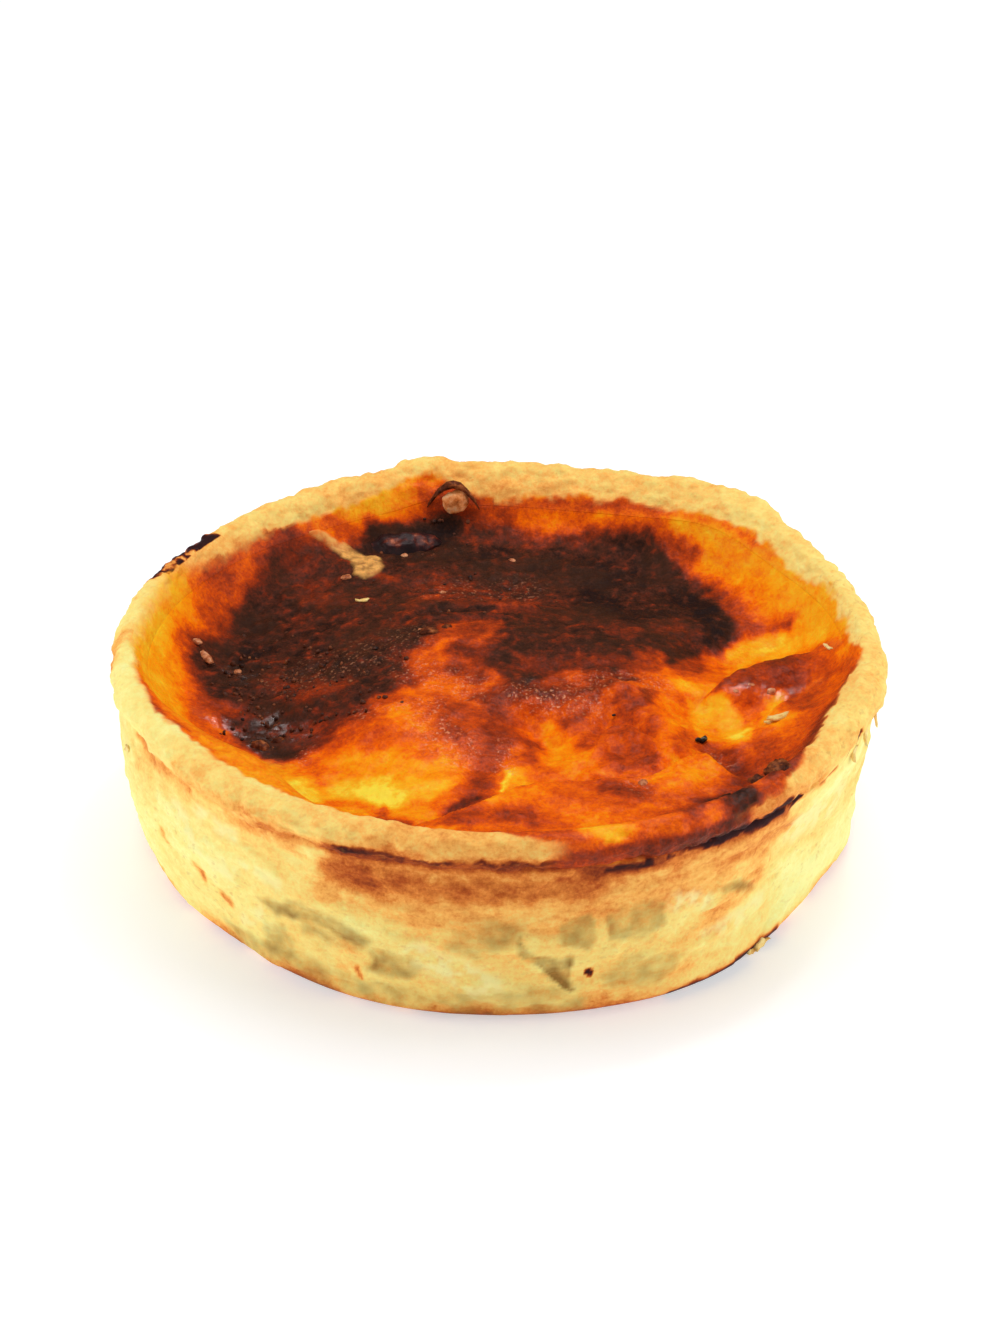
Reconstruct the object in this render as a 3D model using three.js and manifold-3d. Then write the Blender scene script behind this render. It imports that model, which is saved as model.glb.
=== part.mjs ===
// A small quiche lorraine: a deep shortcrust case, the egg custard baked in it,
// and the pieces of bacon that stand out of the custard's skin.
// Millimetres, +Z up. The origin is the middle of the base, which rests on z = 0.
import * as THREE from 'three';
import { mergeVertices } from 'three/addons/utils/BufferGeometryUtils.js';
import Module from 'manifold-3d';

const manifold = await Module();
manifold.setup();

// Driving dimensions of the case
const rimRadius = 54.0;       // outside of the rolled lip, before its corners
const rimHeight = 31.5;       // crest of the lip, before its rises
const baseRadius = 51.6;      // where the wall meets the foot's curve
const footRound = 2.2;        // radius of the curve from wall to base
const lipDepth = 5.0;         // height of the rolled lip
const lipRound = 2.6;         // half the breadth of the lip's rounded outside
const lipOverhang = 1.0;      // how far the lip stands out over the wall
const lipBreadthMean = 5.2;   // breadth of the lip and of the wall under it
const floorThickness = 3.2;   // pastry under the custard
const neighbourGap = 0.3;     // kept between the case, the custard and the bacon

// Driving dimensions of the custard
const custardLevel = 23.4;    // its skin away from the rim, before mounds and hollows
const meetDrop = 3.4;         // where its skin meets the lip, under the crest
const wallDraft = 1.5;        // how much narrower the custard is at its floor

// Faceting
const angularSteps = 90;
const footSteps = 3;
const wallSteps = 5;
const lipSteps = 7;
const slopeSteps = 3;
const innerSteps = 2;
const custardRings = 18;

// A hand-pressed case is uneven. Each row is a swelling on the circle: its middle
// and spread in degrees, anticlockwise from +X, and how much it adds at the middle.
const lipReach = [
  { at: 48, spread: 13, add: 2.6 },     // corner at the back right
  { at: 103, spread: 7, add: 1.3 },     // corner at the back
  { at: 130, spread: 14, add: -0.2 },   // flattened back left
  { at: 186, spread: 20, add: 1.4 },    // left side pushed out
  { at: 345, spread: 22, add: 0.9 },    // right side
  { at: 262, spread: 26, add: -0.4 },   // flattened front
];
const crestRise = [
  { at: 50, spread: 11, add: 0.9 },
  { at: 26, spread: 12, add: -0.5 },
  { at: 102, spread: 5, add: 0.7 },
  { at: 78, spread: 10, add: -0.3 },
  { at: 126, spread: 14, add: -0.4 },
  { at: 150, spread: 14, add: -0.3 },
  { at: 228, spread: 20, add: -0.6 },
  { at: 268, spread: 38, add: -0.9 },
  { at: 308, spread: 18, add: -1.0 },
];
const lipBreadth = [
  { at: 48, spread: 20, add: 2.6 },     // the back lip leans out and is broad
  { at: 85, spread: 32, add: 3.0 },
  { at: 130, spread: 25, add: 1.3 },
  { at: 222, spread: 15, add: 5.0 },    // front left, where the custard sank
  { at: 204, spread: 6, add: 0.8 },
  { at: 280, spread: 26, add: -1.9 },   // front, where the custard swelled
  { at: 318, spread: 10, add: -1.2 },   // front right, where it ran over
  { at: 340, spread: 12, add: 1.2 },    // right, split into layers
];
const overhangMore = [
  { at: 190, spread: 20, add: 0.9 },
  { at: 255, spread: 35, add: 0.5 },
];
const wallBelly = [
  { at: 198, spread: 30, add: 2.0 },    // left wall bulges
  { at: 275, spread: 30, add: 0.7 },
  { at: 322, spread: 18, add: -1.3 },
];
const footReach = [
  { at: 222, spread: 18, add: -1.6 },   // the foot draws in at the front left
  { at: 270, spread: 75, add: -0.9 },
  { at: 300, spread: 12, add: 0.5 },
  { at: 322, spread: 16, add: -1.2 },
  { at: 336, spread: 15, add: -1.4 },
];

// How far under the crest the custard's skin meets the lip, and how far in from
// there its upward curve starts
const custardMeetsLip = [
  { at: 0, spread: 45, add: -0.5 },
  { at: 95, spread: 45, add: 0.9 },
  { at: 175, spread: 25, add: -0.5 },
  { at: 220, spread: 22, add: -0.8 },
  { at: 272, spread: 32, add: -2.5 },
  { at: 335, spread: 22, add: -0.7 },
];
const custardFillet = [
  { at: 170, spread: 25, add: 3.6 },
  { at: 330, spread: 40, add: 4.5 },
  { at: 40, spread: 25, add: 3.0 },
  { at: 90, spread: 35, add: 1.0 },
  { at: 222, spread: 16, add: -1.5 },
];

// Mounds and hollows of the skin, each along a line between two points: the half
// width across it, the rise (below zero for a hollow) and the edge, where 1 fades
// like a hill and more is nearer a plateau
const mounds = [
  { from: [-8, 4], to: [12, 3], width: 14, rise: 2.5, edge: 1 },          // middle dome
  { from: [-5, 9], to: [0, 9], width: 6, rise: 0.7, edge: 1 },            // its top
  { from: [-13, -13], to: [-4, -16], width: 8, rise: 1.5, edge: 1 },      // its front slope
  { from: [2, -7], to: [12, -8], width: 5, rise: 1.0, edge: 1.2 },
  { from: [0, -12], to: [-2, -24], width: 2.5, rise: -0.5, edge: 1 },     // gully in front
  { from: [4, -13], to: [8, -20], width: 2.2, rise: -1.3, edge: 1 },
  { from: [18, -8], to: [24, -21], width: 3.8, rise: 2.2, edge: 1.2 },    // ridge to the right
  { from: [13, -22], to: [20, -26], width: 4.5, rise: 1.2, edge: 1.5 },   // browned blister
  { from: [-36, 14], to: [-32, -8], width: 11, rise: -2.0, edge: 1 },     // sunk left side
  { from: [-34, -14], to: [-24, -24], width: 7, rise: -1.6, edge: 1 },    // its low front end
  { from: [-27, -4], to: [-23, -6], width: 4.5, rise: 1.0, edge: 1.2 },   // lump beside it
  { from: [4, 28], to: [26, 25], width: 9, rise: -1.2, edge: 1 },         // behind the dome
  { from: [32, 8], to: [43, 13], width: 6, rise: -2.6, edge: 1 },         // valley behind the flap
  { from: [29, -8], to: [31, -12], width: 3.4, rise: -1.8, edge: 1.4 },   // torn pit
  { from: [35, -8], to: [36, -13], width: 2.2, rise: -1.0, edge: 1.3 },
  { from: [29, -21], to: [36, -31], width: 2.6, rise: -0.6, edge: 1.2 },  // fold at the right
  { from: [-20, -30], to: [-12, -34], width: 6, rise: -1.0, edge: 1 },    // low front left
  { from: [-34, 37], to: [-24, 33], width: 2.6, rise: 0.9, edge: 1.2 },   // fold at the back left
  { from: [-10, 15.5], to: [3, 15.5], width: 1.3, rise: 0.7, edge: 1 },   // two arches on the dome
  { from: [-12, 20], to: [4, 20.5], width: 1.6, rise: 0.8, edge: 1 },
];

// Raised skins with one crisp edge. The edge runs through the points with the raised
// side on its right. The lift is given at equal steps along the edge, the step is how
// broad its slope is, and depth is how far the raised part reaches before it fades out.
const raisedSkins = [
  {                                     // the lobe at the front
    edge: [
      [-21, -47], [-14.5, -43.3], [-8.4, -41.3], [-3.8, -39.3], [0, -36.8], [2, -34.6], [6, -33.8],
      [10, -33], [15, -32.4], [20, -32], [23.5, -29.6], [27.2, -26.6], [29.6, -28.6], [32, -31.5],
      [36, -33.5],
    ],
    lift: [0.3, 2.2, 3.8, 4.4, 4.6, 4.6, 4.4, 4.3, 4.5, 4.9, 4.3, 3.0],
    step: 1.4,
    depth: 40,
  },
  {                                     // a tongue of skin behind it
    edge: [[12, -24], [13.3, -20], [14.2, -17], [15.9, -15.3], [18.5, -16], [21, -19.5], [22.5, -25]],
    lift: [0.2, 0.9, 1.4, 1.4, 0.9, 0.3],
    step: 0.8,
    depth: 7,
  },
  {                                     // the flap at the right
    edge: [[28, -7], [30.1, -4], [34.2, 0], [38, 2.4], [41.9, 4.2], [46, 5], [50, 5]],
    lift: [0.3, 1.4, 2.0, 2.4, 2.4, 1.6, 0.6],
    step: 1.0,
    depth: 8,
  },
  {                                     // the slope in front of the flap
    edge: [[30, -19], [34, -17], [36.5, -13], [39, -9], [42, -6], [46, -4]],
    lift: [0.3, 1.2, 1.8, 1.8, 1.2, 0.3],
    step: 1.6,
    depth: 15,
  },
];

const degree = Math.PI / 180;

function swelling(angle, rows) {
  let sum = 0;
  for (const { at, spread, add } of rows) {
    const away = ((angle - at + 540) % 360) - 180;
    sum += add * Math.exp(-((away / spread) ** 2));
  }
  return sum;
}

const outerRadiusAt = (angle) => rimRadius + swelling(angle, lipReach);
const crestAt = (angle) => rimHeight + swelling(angle, crestRise);
const breadthAt = (angle) => lipBreadthMean + swelling(angle, lipBreadth);
const innerRadiusAt = (angle) => outerRadiusAt(angle) - breadthAt(angle);
const meetHeightAt = (angle) => crestAt(angle) - meetDrop - swelling(angle, custardMeetsLip);

// The case's section at one angle, from the base outwards, up the wall, over the
// lip and down inside to the floor, as [radius, height] pairs.
function caseSection(angle) {
  const outer = outerRadiusAt(angle);
  const crest = crestAt(angle);
  const foot = baseRadius + swelling(angle, footReach);
  const belly = swelling(angle, wallBelly);
  const inner = innerRadiusAt(angle);
  const section = [[foot * 0.55, 0]];

  for (let i = 0; i <= footSteps; i++) {
    const turn = (i / footSteps) * 90 * degree;
    const radius = foot - footRound + footRound * Math.sin(turn);
    section.push([radius, footRound * (1 - Math.cos(turn))]);
  }

  const wallTop = outer - lipOverhang - swelling(angle, overhangMore);
  const wallTopHeight = crest - lipDepth;
  for (let i = 1; i <= wallSteps; i++) {
    const part = i / wallSteps;
    const radius = foot + (wallTop - foot) * part + belly * Math.sin(part * Math.PI);
    section.push([radius, footRound + (wallTopHeight - footRound) * part]);
  }

  const lipHalf = lipDepth / 2;
  for (let i = 0; i <= lipSteps; i++) {
    const turn = (-45 + (i / lipSteps) * 145) * degree;
    const radius = outer - lipRound + lipRound * Math.cos(turn);
    section.push([radius, crest - lipHalf + lipHalf * Math.sin(turn)]);
  }

  // the lip's inside slopes down to where the custard meets it, then the wall drops
  const [topRadius, topHeight] = section.at(-1);
  const meet = meetHeightAt(angle);
  for (let i = 1; i <= slopeSteps; i++) {
    const part = i / slopeSteps;
    section.push([
      topRadius + (inner - topRadius) * part,
      topHeight + (meet - topHeight) * part ** 1.3,
    ]);
  }
  for (let i = 1; i <= innerSteps; i++) {
    const part = i / innerSteps;
    section.push([inner - part * wallDraft, meet + (floorThickness - meet) * part]);
  }
  section.push([inner * 0.5, floorThickness]);
  return section;
}

// The distance from a point to the line between two others, how far along the line
// its nearest point is, and the line's length
function nearLine(x, y, [x0, y0], [x1, y1]) {
  const length = Math.hypot(x1 - x0, y1 - y0);
  const share = ((x - x0) * (x1 - x0) + (y - y0) * (y1 - y0)) / length ** 2;
  const along = THREE.MathUtils.clamp(share, 0, 1);
  const away = Math.hypot(x - x0 - along * (x1 - x0), y - y0 - along * (y1 - y0));
  return { away, along, length };
}

// Height above the custard's level that one raised skin adds
function raisedSkin(x, y, { edge, lift, step, depth }) {
  let nearest = Infinity;
  let side = 1;
  let travelled = 0;
  let whole = 0;
  for (let i = 0; i < edge.length - 1; i++) {
    const [x0, y0] = edge[i];
    const [x1, y1] = edge[i + 1];
    const { away, along, length } = nearLine(x, y, edge[i], edge[i + 1]);
    if (away < nearest - 1e-6) {
      nearest = away;
      side = Math.sign((x - x0) * (y1 - y0) - (y - y0) * (x1 - x0));
      travelled = whole + along * length;
    }
    whole += length;
  }
  const inwards = nearest * side;
  const place = (travelled / whole) * (lift.length - 1);
  const before = Math.min(Math.floor(place), lift.length - 2);
  const height = THREE.MathUtils.lerp(lift[before], lift[before + 1], place - before);
  const rise = THREE.MathUtils.smoothstep(inwards, -step / 2, step / 2);
  const fade = 1 - THREE.MathUtils.smoothstep(inwards, depth * 0.25, depth);
  return height * rise * fade;
}

function custardTop(x, y) {
  const angle = Math.atan2(y, x) / degree;
  const inner = innerRadiusAt(angle);
  const fillet = 5 + swelling(angle, custardFillet);
  const climb = Math.max(0, 1 - Math.max(0, inner - Math.hypot(x, y)) / fillet) ** 2;
  let height = custardLevel;
  for (const { from, to, width, rise, edge } of mounds) {
    height += rise * Math.exp(-((nearLine(x, y, from, to).away / width) ** (2 * edge)));
  }
  for (const skin of raisedSkins) {
    height += raisedSkin(x, y, skin);
  }
  return height + (meetHeightAt(angle) - height) * climb;
}

// Joins rings of points into one closed body. Every ring has angularSteps points,
// and the first and last rings are closed with a fan round their middle points.
function ringBody(rings, firstMiddle, lastMiddle) {
  const points = [];
  for (const ring of rings) {
    points.push(...ring);
  }
  const first = points.push(firstMiddle) - 1;
  const last = points.push(lastMiddle) - 1;
  const faces = [];
  const lastRing = (rings.length - 1) * angularSteps;
  for (let a = 0; a < angularSteps; a++) {
    const b = (a + 1) % angularSteps;
    faces.push([first, b, a]);
    faces.push([last, lastRing + a, lastRing + b]);
    for (let k = 0; k < rings.length - 1; k++) {
      const lower = k * angularSteps;
      const upper = lower + angularSteps;
      faces.push([lower + a, lower + b, upper + b]);
      faces.push([lower + a, upper + b, upper + a]);
    }
  }
  const geometry = new THREE.BufferGeometry();
  geometry.setAttribute('position', new THREE.Float32BufferAttribute(points.flat(), 3));
  geometry.setIndex(faces.flat());
  return geometry;
}

function pointAt(angle, radius, height) {
  return [radius * Math.cos(angle * degree), radius * Math.sin(angle * degree), height];
}

function caseGeometry() {
  const sections = [];
  for (let a = 0; a < angularSteps; a++) {
    sections.push(caseSection((a * 360) / angularSteps));
  }
  const rings = sections[0].map((_, k) => sections.map((section, a) => {
    const [radius, height] = section[k];
    return pointAt((a * 360) / angularSteps, radius, height);
  }));
  return ringBody(rings, [0, 0, 0], [0, 0, floorThickness]);
}

// The custard fills the case from just above its floor to the skin
function custardGeometry() {
  const rings = [];
  const floor = floorThickness + neighbourGap;
  const sideShares = [0, 0.5, 1];
  const ring = (place) => Array.from({ length: angularSteps }, (_, a) => place((a * 360) / angularSteps));
  rings.push(ring((angle) => pointAt(angle, innerRadiusAt(angle) * 0.5, floor)));
  for (const share of sideShares) {
    rings.push(ring((angle) => {
      const draft = wallDraft * (1 - share) + neighbourGap;
      const radius = innerRadiusAt(angle) - draft;
      const [x, y] = pointAt(angle, radius, 0);
      const top = custardTop(x, y);
      return pointAt(angle, radius, floor + (top - floor) * share);
    }));
  }
  for (let k = 1; k < custardRings; k++) {
    const share = 1 - k / custardRings;
    rings.push(ring((angle) => {
      const radius = (innerRadiusAt(angle) - neighbourGap) * share;
      const [x, y] = pointAt(angle, radius, 0);
      return [x, y, custardTop(x, y)];
    }));
  }
  return ringBody(rings, [0, 0, floor], [0, 0, custardTop(0, 0)]);
}

// A lump of fried bacon: a squashed ball with a rough, repeatable unevenness
function baconGeometry({ length, width, height, bend, seed }) {
  const geometry = mergeVertices(cleared(new THREE.IcosahedronGeometry(0.5, 3)), 1e-5);
  const position = geometry.getAttribute('position');
  for (let i = 0; i < position.count; i++) {
    const x = position.getX(i);
    const y = position.getY(i);
    const z = position.getZ(i);
    const rough = 1 + 0.12 * Math.sin(9 * x + seed) + 0.09 * Math.cos(11 * y - 7 * z + 2 * seed);
    position.setXYZ(i, x * length * rough, (y * width + bend * (x * x - 0.08)) * rough, z * height * rough);
  }
  return geometry;
}

function cleared(geometry) {
  geometry.deleteAttribute('normal');
  geometry.deleteAttribute('uv');
  return geometry;
}

function toSolid(geometry) {
  return new manifold.Manifold(new manifold.Mesh({
    numProp: 3,
    vertProperties: Float32Array.from(geometry.getAttribute('position').array),
    triVerts: Uint32Array.from(geometry.getIndex().array),
  }));
}

function fromSolid(solid) {
  const mesh = solid.getMesh();
  const geometry = new THREE.BufferGeometry();
  geometry.setAttribute('position', new THREE.BufferAttribute(mesh.vertProperties, 3));
  geometry.setIndex(new THREE.BufferAttribute(mesh.triVerts, 1));
  return geometry;
}

// The bacon that shows: where each piece sits, its size and its turn
const baconPieces = {
  bacon_back_left: {
    x: -15, y: 39.6, sink: 0.9, length: 12.2, width: 5.2, height: 4.4, bend: 1.5, turn: 6, seed: 1,
  },
  bacon_back: {
    x: -7.4, y: 43.9, sink: -1.7, length: 5.2, width: 4.2, height: 5, bend: 1, turn: 20, seed: 2,
  },
};

const crustFinish = new THREE.MeshStandardMaterial({ color: 0xe6c173, roughness: 0.75, metalness: 0 });
const custardFinish = new THREE.MeshStandardMaterial({ color: 0xb4560f, roughness: 0.4, metalness: 0 });
const baconFinish = new THREE.MeshStandardMaterial({ color: 0x5a2416, roughness: 0.35, metalness: 0 });

function placed({ x, y, sink, turn, ...shape }, swell) {
  const grown = {
    ...shape,
    length: shape.length + swell,
    width: shape.width + swell,
    height: shape.height + swell,
  };
  const geometry = baconGeometry(grown);
  geometry.rotateZ(turn * degree);
  geometry.translate(x, y, custardTop(x, y) - sink);
  return geometry;
}

const quiche = new THREE.Group();
const caseMesh = new THREE.Mesh(caseGeometry(), crustFinish);
caseMesh.name = 'pastry_case';
quiche.add(caseMesh);

// Each piece of bacon presses its own hollow into the custard, a gap wider all round
let custard = toSolid(custardGeometry());
for (const [name, piece] of Object.entries(baconPieces)) {
  custard = custard.subtract(toSolid(placed(piece, 2 * neighbourGap + 0.2)));
  const bacon = new THREE.Mesh(placed(piece, 0), baconFinish);
  bacon.name = name;
  quiche.add(bacon);
}
const custardMesh = new THREE.Mesh(fromSolid(custard), custardFinish);
custardMesh.name = 'egg_custard';
quiche.add(custardMesh);

export default quiche;
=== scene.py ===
import itertools
import math

import bpy
import numpy as np
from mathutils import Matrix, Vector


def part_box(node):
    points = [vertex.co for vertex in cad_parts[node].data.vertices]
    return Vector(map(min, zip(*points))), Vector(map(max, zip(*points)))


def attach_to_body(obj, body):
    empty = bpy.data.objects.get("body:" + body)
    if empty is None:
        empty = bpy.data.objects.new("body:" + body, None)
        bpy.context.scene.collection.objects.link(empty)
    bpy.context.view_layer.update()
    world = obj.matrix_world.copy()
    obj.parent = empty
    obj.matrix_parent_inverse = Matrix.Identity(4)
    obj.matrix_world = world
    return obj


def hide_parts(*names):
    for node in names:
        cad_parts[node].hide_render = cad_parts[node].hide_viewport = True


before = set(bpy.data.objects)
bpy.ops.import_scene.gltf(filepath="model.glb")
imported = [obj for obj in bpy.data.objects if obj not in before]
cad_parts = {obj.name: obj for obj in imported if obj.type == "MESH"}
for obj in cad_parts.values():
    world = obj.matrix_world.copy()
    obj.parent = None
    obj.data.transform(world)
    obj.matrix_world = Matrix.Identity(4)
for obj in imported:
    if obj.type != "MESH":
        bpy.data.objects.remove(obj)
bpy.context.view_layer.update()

# A small quiche lorraine: shortcrust case, browned egg custard, fried bacon,
# and the crumbs and flakes that lie on it. The shapes below are worked out in
# millimetres and turned to metres when their mesh is made.
mm = 0.001


def report(stage):
    print("quiche:", stage)


def linear(hexColour):
    # an sRGB hex colour as the linear values that a shader takes
    parts = [int(hexColour[i:i + 2], 16) / 255 for i in (1, 3, 5)]
    parts = [c / 12.92 if c <= 0.04045 else ((c + 0.055) / 1.055) ** 2.4 for c in parts]
    return (*parts, 1.0)


def addNode(tree, kind, inputs=None, stops=None, **settings):
    # one shader node: its settings, a ramp's stops, and its inputs as values, as
    # links, or as nodes whose first output is meant
    node = tree.nodes.new("ShaderNode" + kind)
    for name, value in settings.items():
        setattr(node, name, value)
    if stops:
        ramp = node.color_ramp
        while len(ramp.elements) < len(stops):
            ramp.elements.new(1.0)
        for element, (place, colour) in zip(ramp.elements, stops):
            element.position = place
            element.color = linear(colour) if isinstance(colour, str) else (colour,) * 3 + (1.0,)
    for name, value in (inputs or {}).items():
        if isinstance(value, bpy.types.Node):
            value = value.outputs[0]
        if isinstance(value, bpy.types.NodeSocket):
            tree.links.new(value, node.inputs[name])
        else:
            node.inputs[name].default_value = value
    return node


random = np.random.default_rng(20)
shuffled = random.permutation(256)
slopes = random.normal(size=(256, 3))
slopes /= np.linalg.norm(slopes, axis=1, keepdims=True)


seedStep = 31.7         # how far apart two seeds look in the same field of lumps
lumpRange = 1.8         # brings the lumps to about -1 to 1


def lumps(points, size, seed=0):
    # smooth unevenness, with one lump every size millimetres
    place = points / size + seed * seedStep
    cell = np.floor(place).astype(int)
    part = place - cell
    ease = part ** 3 * (part * (part * 6 - 15) + 10)
    total = np.zeros(len(points))
    for corner in itertools.product((0, 1), repeat=3):
        index = (cell + corner) & 255
        slot = shuffled[index[:, 0]]
        for axis in (1, 2):
            slot = shuffled[(slot + index[:, axis]) & 255]
        weight = np.prod(np.where(corner, ease, 1 - ease), axis=1)
        total += weight * np.sum(slopes[slot] * (part - corner), axis=1)
    return total * lumpRange


def layeredLumps(points, size, layers, seed=0):
    # lumps on lumps, each layer half as large and half as high as the last
    total = np.zeros(len(points))
    for k in range(layers):
        total += lumps(points, np.asarray(size) / 2 ** k, seed + k) / 2 ** k
    return total


def uneven(points, rows):
    # rows of (lump size in mm, layers, seed, height): several sizes of lumps together
    return sum(height * layeredLumps(points, size, layers, seed)
               for size, layers, seed, height in rows.values())


def smooth(low, high, value):
    part = np.clip((value - low) / (high - low), 0, 1)
    return part * part * (3 - 2 * part)


def swelling(angle, rows):
    # rows of (angle, spread, amount): a swelling on the circle, in degrees
    total = np.zeros_like(np.asarray(angle, float))
    for at, spread, amount in rows:
        away = (angle - at + 540) % 360 - 180
        total += amount * np.exp(-(away / spread) ** 2)
    return total


def alongStroke(x, y, x1, y1, x2, y2):
    # how far along the line between two points each point lies, from 0 to 1, and
    # its distance from the line
    length = (x2 - x1) ** 2 + (y2 - y1) ** 2
    part = np.clip(((x - x1) * (x2 - x1) + (y - y1) * (y2 - y1)) / max(length, 1e-9), 0, 1)
    return part, np.hypot(x - x1 - part * (x2 - x1), y - y1 - part * (y2 - y1))


def nearStroke(x, y, *line):
    return alongStroke(x, y, *line)[1]


def raised(height, x, y, rows):
    # rows of (x1, y1, x2, y2, half width, rise, edge): a hill or a furrow along a
    # line. An edge of 1 fades like a hill, and a higher one like a plateau.
    for x1, y1, x2, y2, width, rise, edge in rows.values():
        height = height + rise * np.exp(-(nearStroke(x, y, x1, y1, x2, y2) / width) ** (2 * edge))
    return height


def depthInside(x, y, outline):
    # how deep each point lies inside a closed outline, and less than 0 outside it
    away = np.full_like(x, 1e9)
    inside = np.zeros(x.shape, bool)
    for (x1, y1), (x2, y2) in zip(outline, outline[1:] + outline[:1]):
        away = np.minimum(away, nearStroke(x, y, x1, y1, x2, y2))
        inside ^= ((y1 > y) != (y2 > y)) & (x < (x2 - x1) * (y - y1) / (y2 - y1 + 1e-9) + x1)
    return np.where(inside, away, -away)


def paint(tone, x, y, rows):
    # pulls the tone towards each row's own: an area is (tone, cover, softness,
    # outline), and a stroke is (tone, cover, half width, x1, y1, x2, y2)
    for row in rows.values():
        if len(row) == 4:
            aim, cover, soft, outline = row
            mask = smooth(-soft, soft, depthInside(x, y, outline))
        else:
            aim, cover, width = row[:3]
            mask = np.exp(-(nearStroke(x, y, *row[3:]) / width) ** 3)
        tone = tone + (aim - tone) * cover * mask
    return tone


def makePiece(name, points, faces, fields=None, uv=None, smoothShaded=True):
    # a mesh piece from points in millimetres, with its painted fields and its place
    # on the bake map, corner by corner
    mesh = bpy.data.meshes.new(name)
    mesh.from_pydata((np.asarray(points) * mm).tolist(), [], [list(map(int, f)) for f in faces])
    mesh.update()
    for field, values in (fields or {}).items():
        layer = mesh.attributes.new(field, "FLOAT", "POINT")
        layer.data.foreach_set("value", np.asarray(values, np.float32))
    if uv is not None:
        layer = mesh.uv_layers.new(name="OFBake")
        layer.data.foreach_set("uv", np.asarray(uv, np.float32).ravel())
    mesh.polygons.foreach_set("use_smooth", [smoothShaded] * len(mesh.polygons))
    piece = bpy.data.objects.new(name, mesh)
    bpy.context.scene.collection.objects.link(piece)
    return piece


def gridCorners(rows, columns, wrap):
    # the row and column of each quad's four corners, over a grid of points
    across = columns if wrap else columns - 1
    row, column = np.meshgrid(np.arange(rows - 1), np.arange(across), indexing="ij")
    row, column = row.reshape(-1, 1), column.reshape(-1, 1)
    return row + np.array([0, 0, 1, 1]), column + np.array([0, 1, 1, 0])


def gridFaces(rows, columns, wrap):
    # the quads of a grid of points laid out row by row
    row, column = gridCorners(rows, columns, wrap)
    return (row * columns + column % columns).tolist()


# The camera stands in front and looks down at the quiche, as from a table's edge.
camera = {
    "distance": 526,        # mm from what it looks at
    "downward": 30.75,      # degrees
    "lookAt": 25.6,         # mm above the table
    "lens": 99.2,           # mm, a short telephoto
}


def placeCamera():
    tilt = math.radians(camera["downward"])
    data = bpy.data.cameras.new("camera")
    data.lens = camera["lens"]
    data.clip_start = 0.01
    eye = bpy.data.objects.new("camera", data)
    eye.location = (0, -camera["distance"] * math.cos(tilt) * mm,
                    (camera["lookAt"] + camera["distance"] * math.sin(tilt)) * mm)
    eye.rotation_euler = (math.pi / 2 - tilt, 0, 0)
    bpy.context.scene.collection.objects.link(eye)
    bpy.context.scene.camera = eye


placeCamera()
report("camera")

caseLow, caseHigh = (np.array(corner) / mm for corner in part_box("pastry_case"))

# Rows are (angle, spread, mm): where the hand-pressed case swells, in degrees
# anticlockwise from the right.
pastryCase = {
    "lipDepth": 5.0,
    "lipRound": 2.6,
    "lipOverhang": 1.0,
    "lipBreadth": 5.2,
    "baseRadius": 51.6,
    "footRound": 2.2,
    "floorThickness": 3.2,
    "wallDraft": 1.5,
    "lipTurn": (-60, 100),          # degrees of the lip's round that show outside
    "slopeCurve": 1.3,
    "lipReach": [(48, 13, 2.6), (103, 7, 1.3), (130, 14, -0.2), (186, 20, 1.4), (345, 22, 0.9),
                 (262, 26, -0.4)],
    "crestRise": [(50, 11, 0.9), (26, 12, -0.5), (102, 5, 0.7), (78, 10, -0.3), (126, 14, -0.4),
                  (150, 14, -0.3), (228, 20, -0.6), (268, 38, -0.9), (308, 18, -1.0)],
    "broaderLip": [(48, 20, 2.6), (85, 32, 3.0), (130, 25, 1.3), (222, 15, 5.0), (204, 6, 0.8),
                   (280, 26, -1.9), (318, 10, -1.2), (340, 12, 1.2)],
    "overhangMore": [(190, 20, 0.9), (255, 35, 0.5)],
    "belly": [(198, 30, 2.0), (275, 30, 0.7), (322, 18, -1.3)],
    "footReach": [(222, 18, -1.6), (270, 75, -0.9), (300, 12, 0.5), (322, 16, -1.2), (336, 15, -1.4)],
    "meetDrop": 3.4,
    "meetLess": [(0, 45, -0.5), (95, 45, 0.9), (175, 25, -0.5), (220, 22, -0.8), (272, 32, -2.5),
                 (335, 22, -0.7)],
    "angularSteps": 840,
    "wallPerDegree": 0.925,         # mm round the wall
}

sideSwell = swelling(np.array([0.0, 180.0]), pastryCase["lipReach"]).sum()
lipRadius = (caseHigh[0] - caseLow[0] - sideSwell) / 2
lipHeight = caseHigh[2] - swelling(np.arange(0, 360, 1.0), pastryCase["crestRise"]).max()

# How broad the bare pastry is, from the outer edge inwards to the browned egg, in
# mm at each angle
bareLip = {
    0: 4.6, 20: 4.3, 39: 6.1, 52: 7.4, 64: 6.6, 79: 7.0, 90: 8.0, 97: 6.2, 102: 4.4, 108: 5.2, 121: 5.8,
    130: 5.4, 138: 5.2, 150: 5.0, 156: 4.2, 162: 3.0, 175: 3.6, 190: 3.2, 203: 2.7, 215: 4.0, 226: 4.2,
    233: 5.0, 244: 4.2, 250: 6.6, 255: 7.2, 260: 6.2, 264: 4.7, 267: 3.8, 270: 2.7, 275: 1.2, 278: 0.4,
    281: 0, 311: 0, 315: 0.4, 321: 2.0, 325: 3.4, 328: 3.8, 336: 5.8, 345: 5.4, 350: 3.8, 356: 3.6,
}


def bareBreadth(angle):
    return np.interp(angle, list(bareLip), list(bareLip.values()), period=360)


def outerRadius(angle):
    return lipRadius + swelling(angle, pastryCase["lipReach"])


def crestHeight(angle):
    return lipHeight + swelling(angle, pastryCase["crestRise"])


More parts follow.
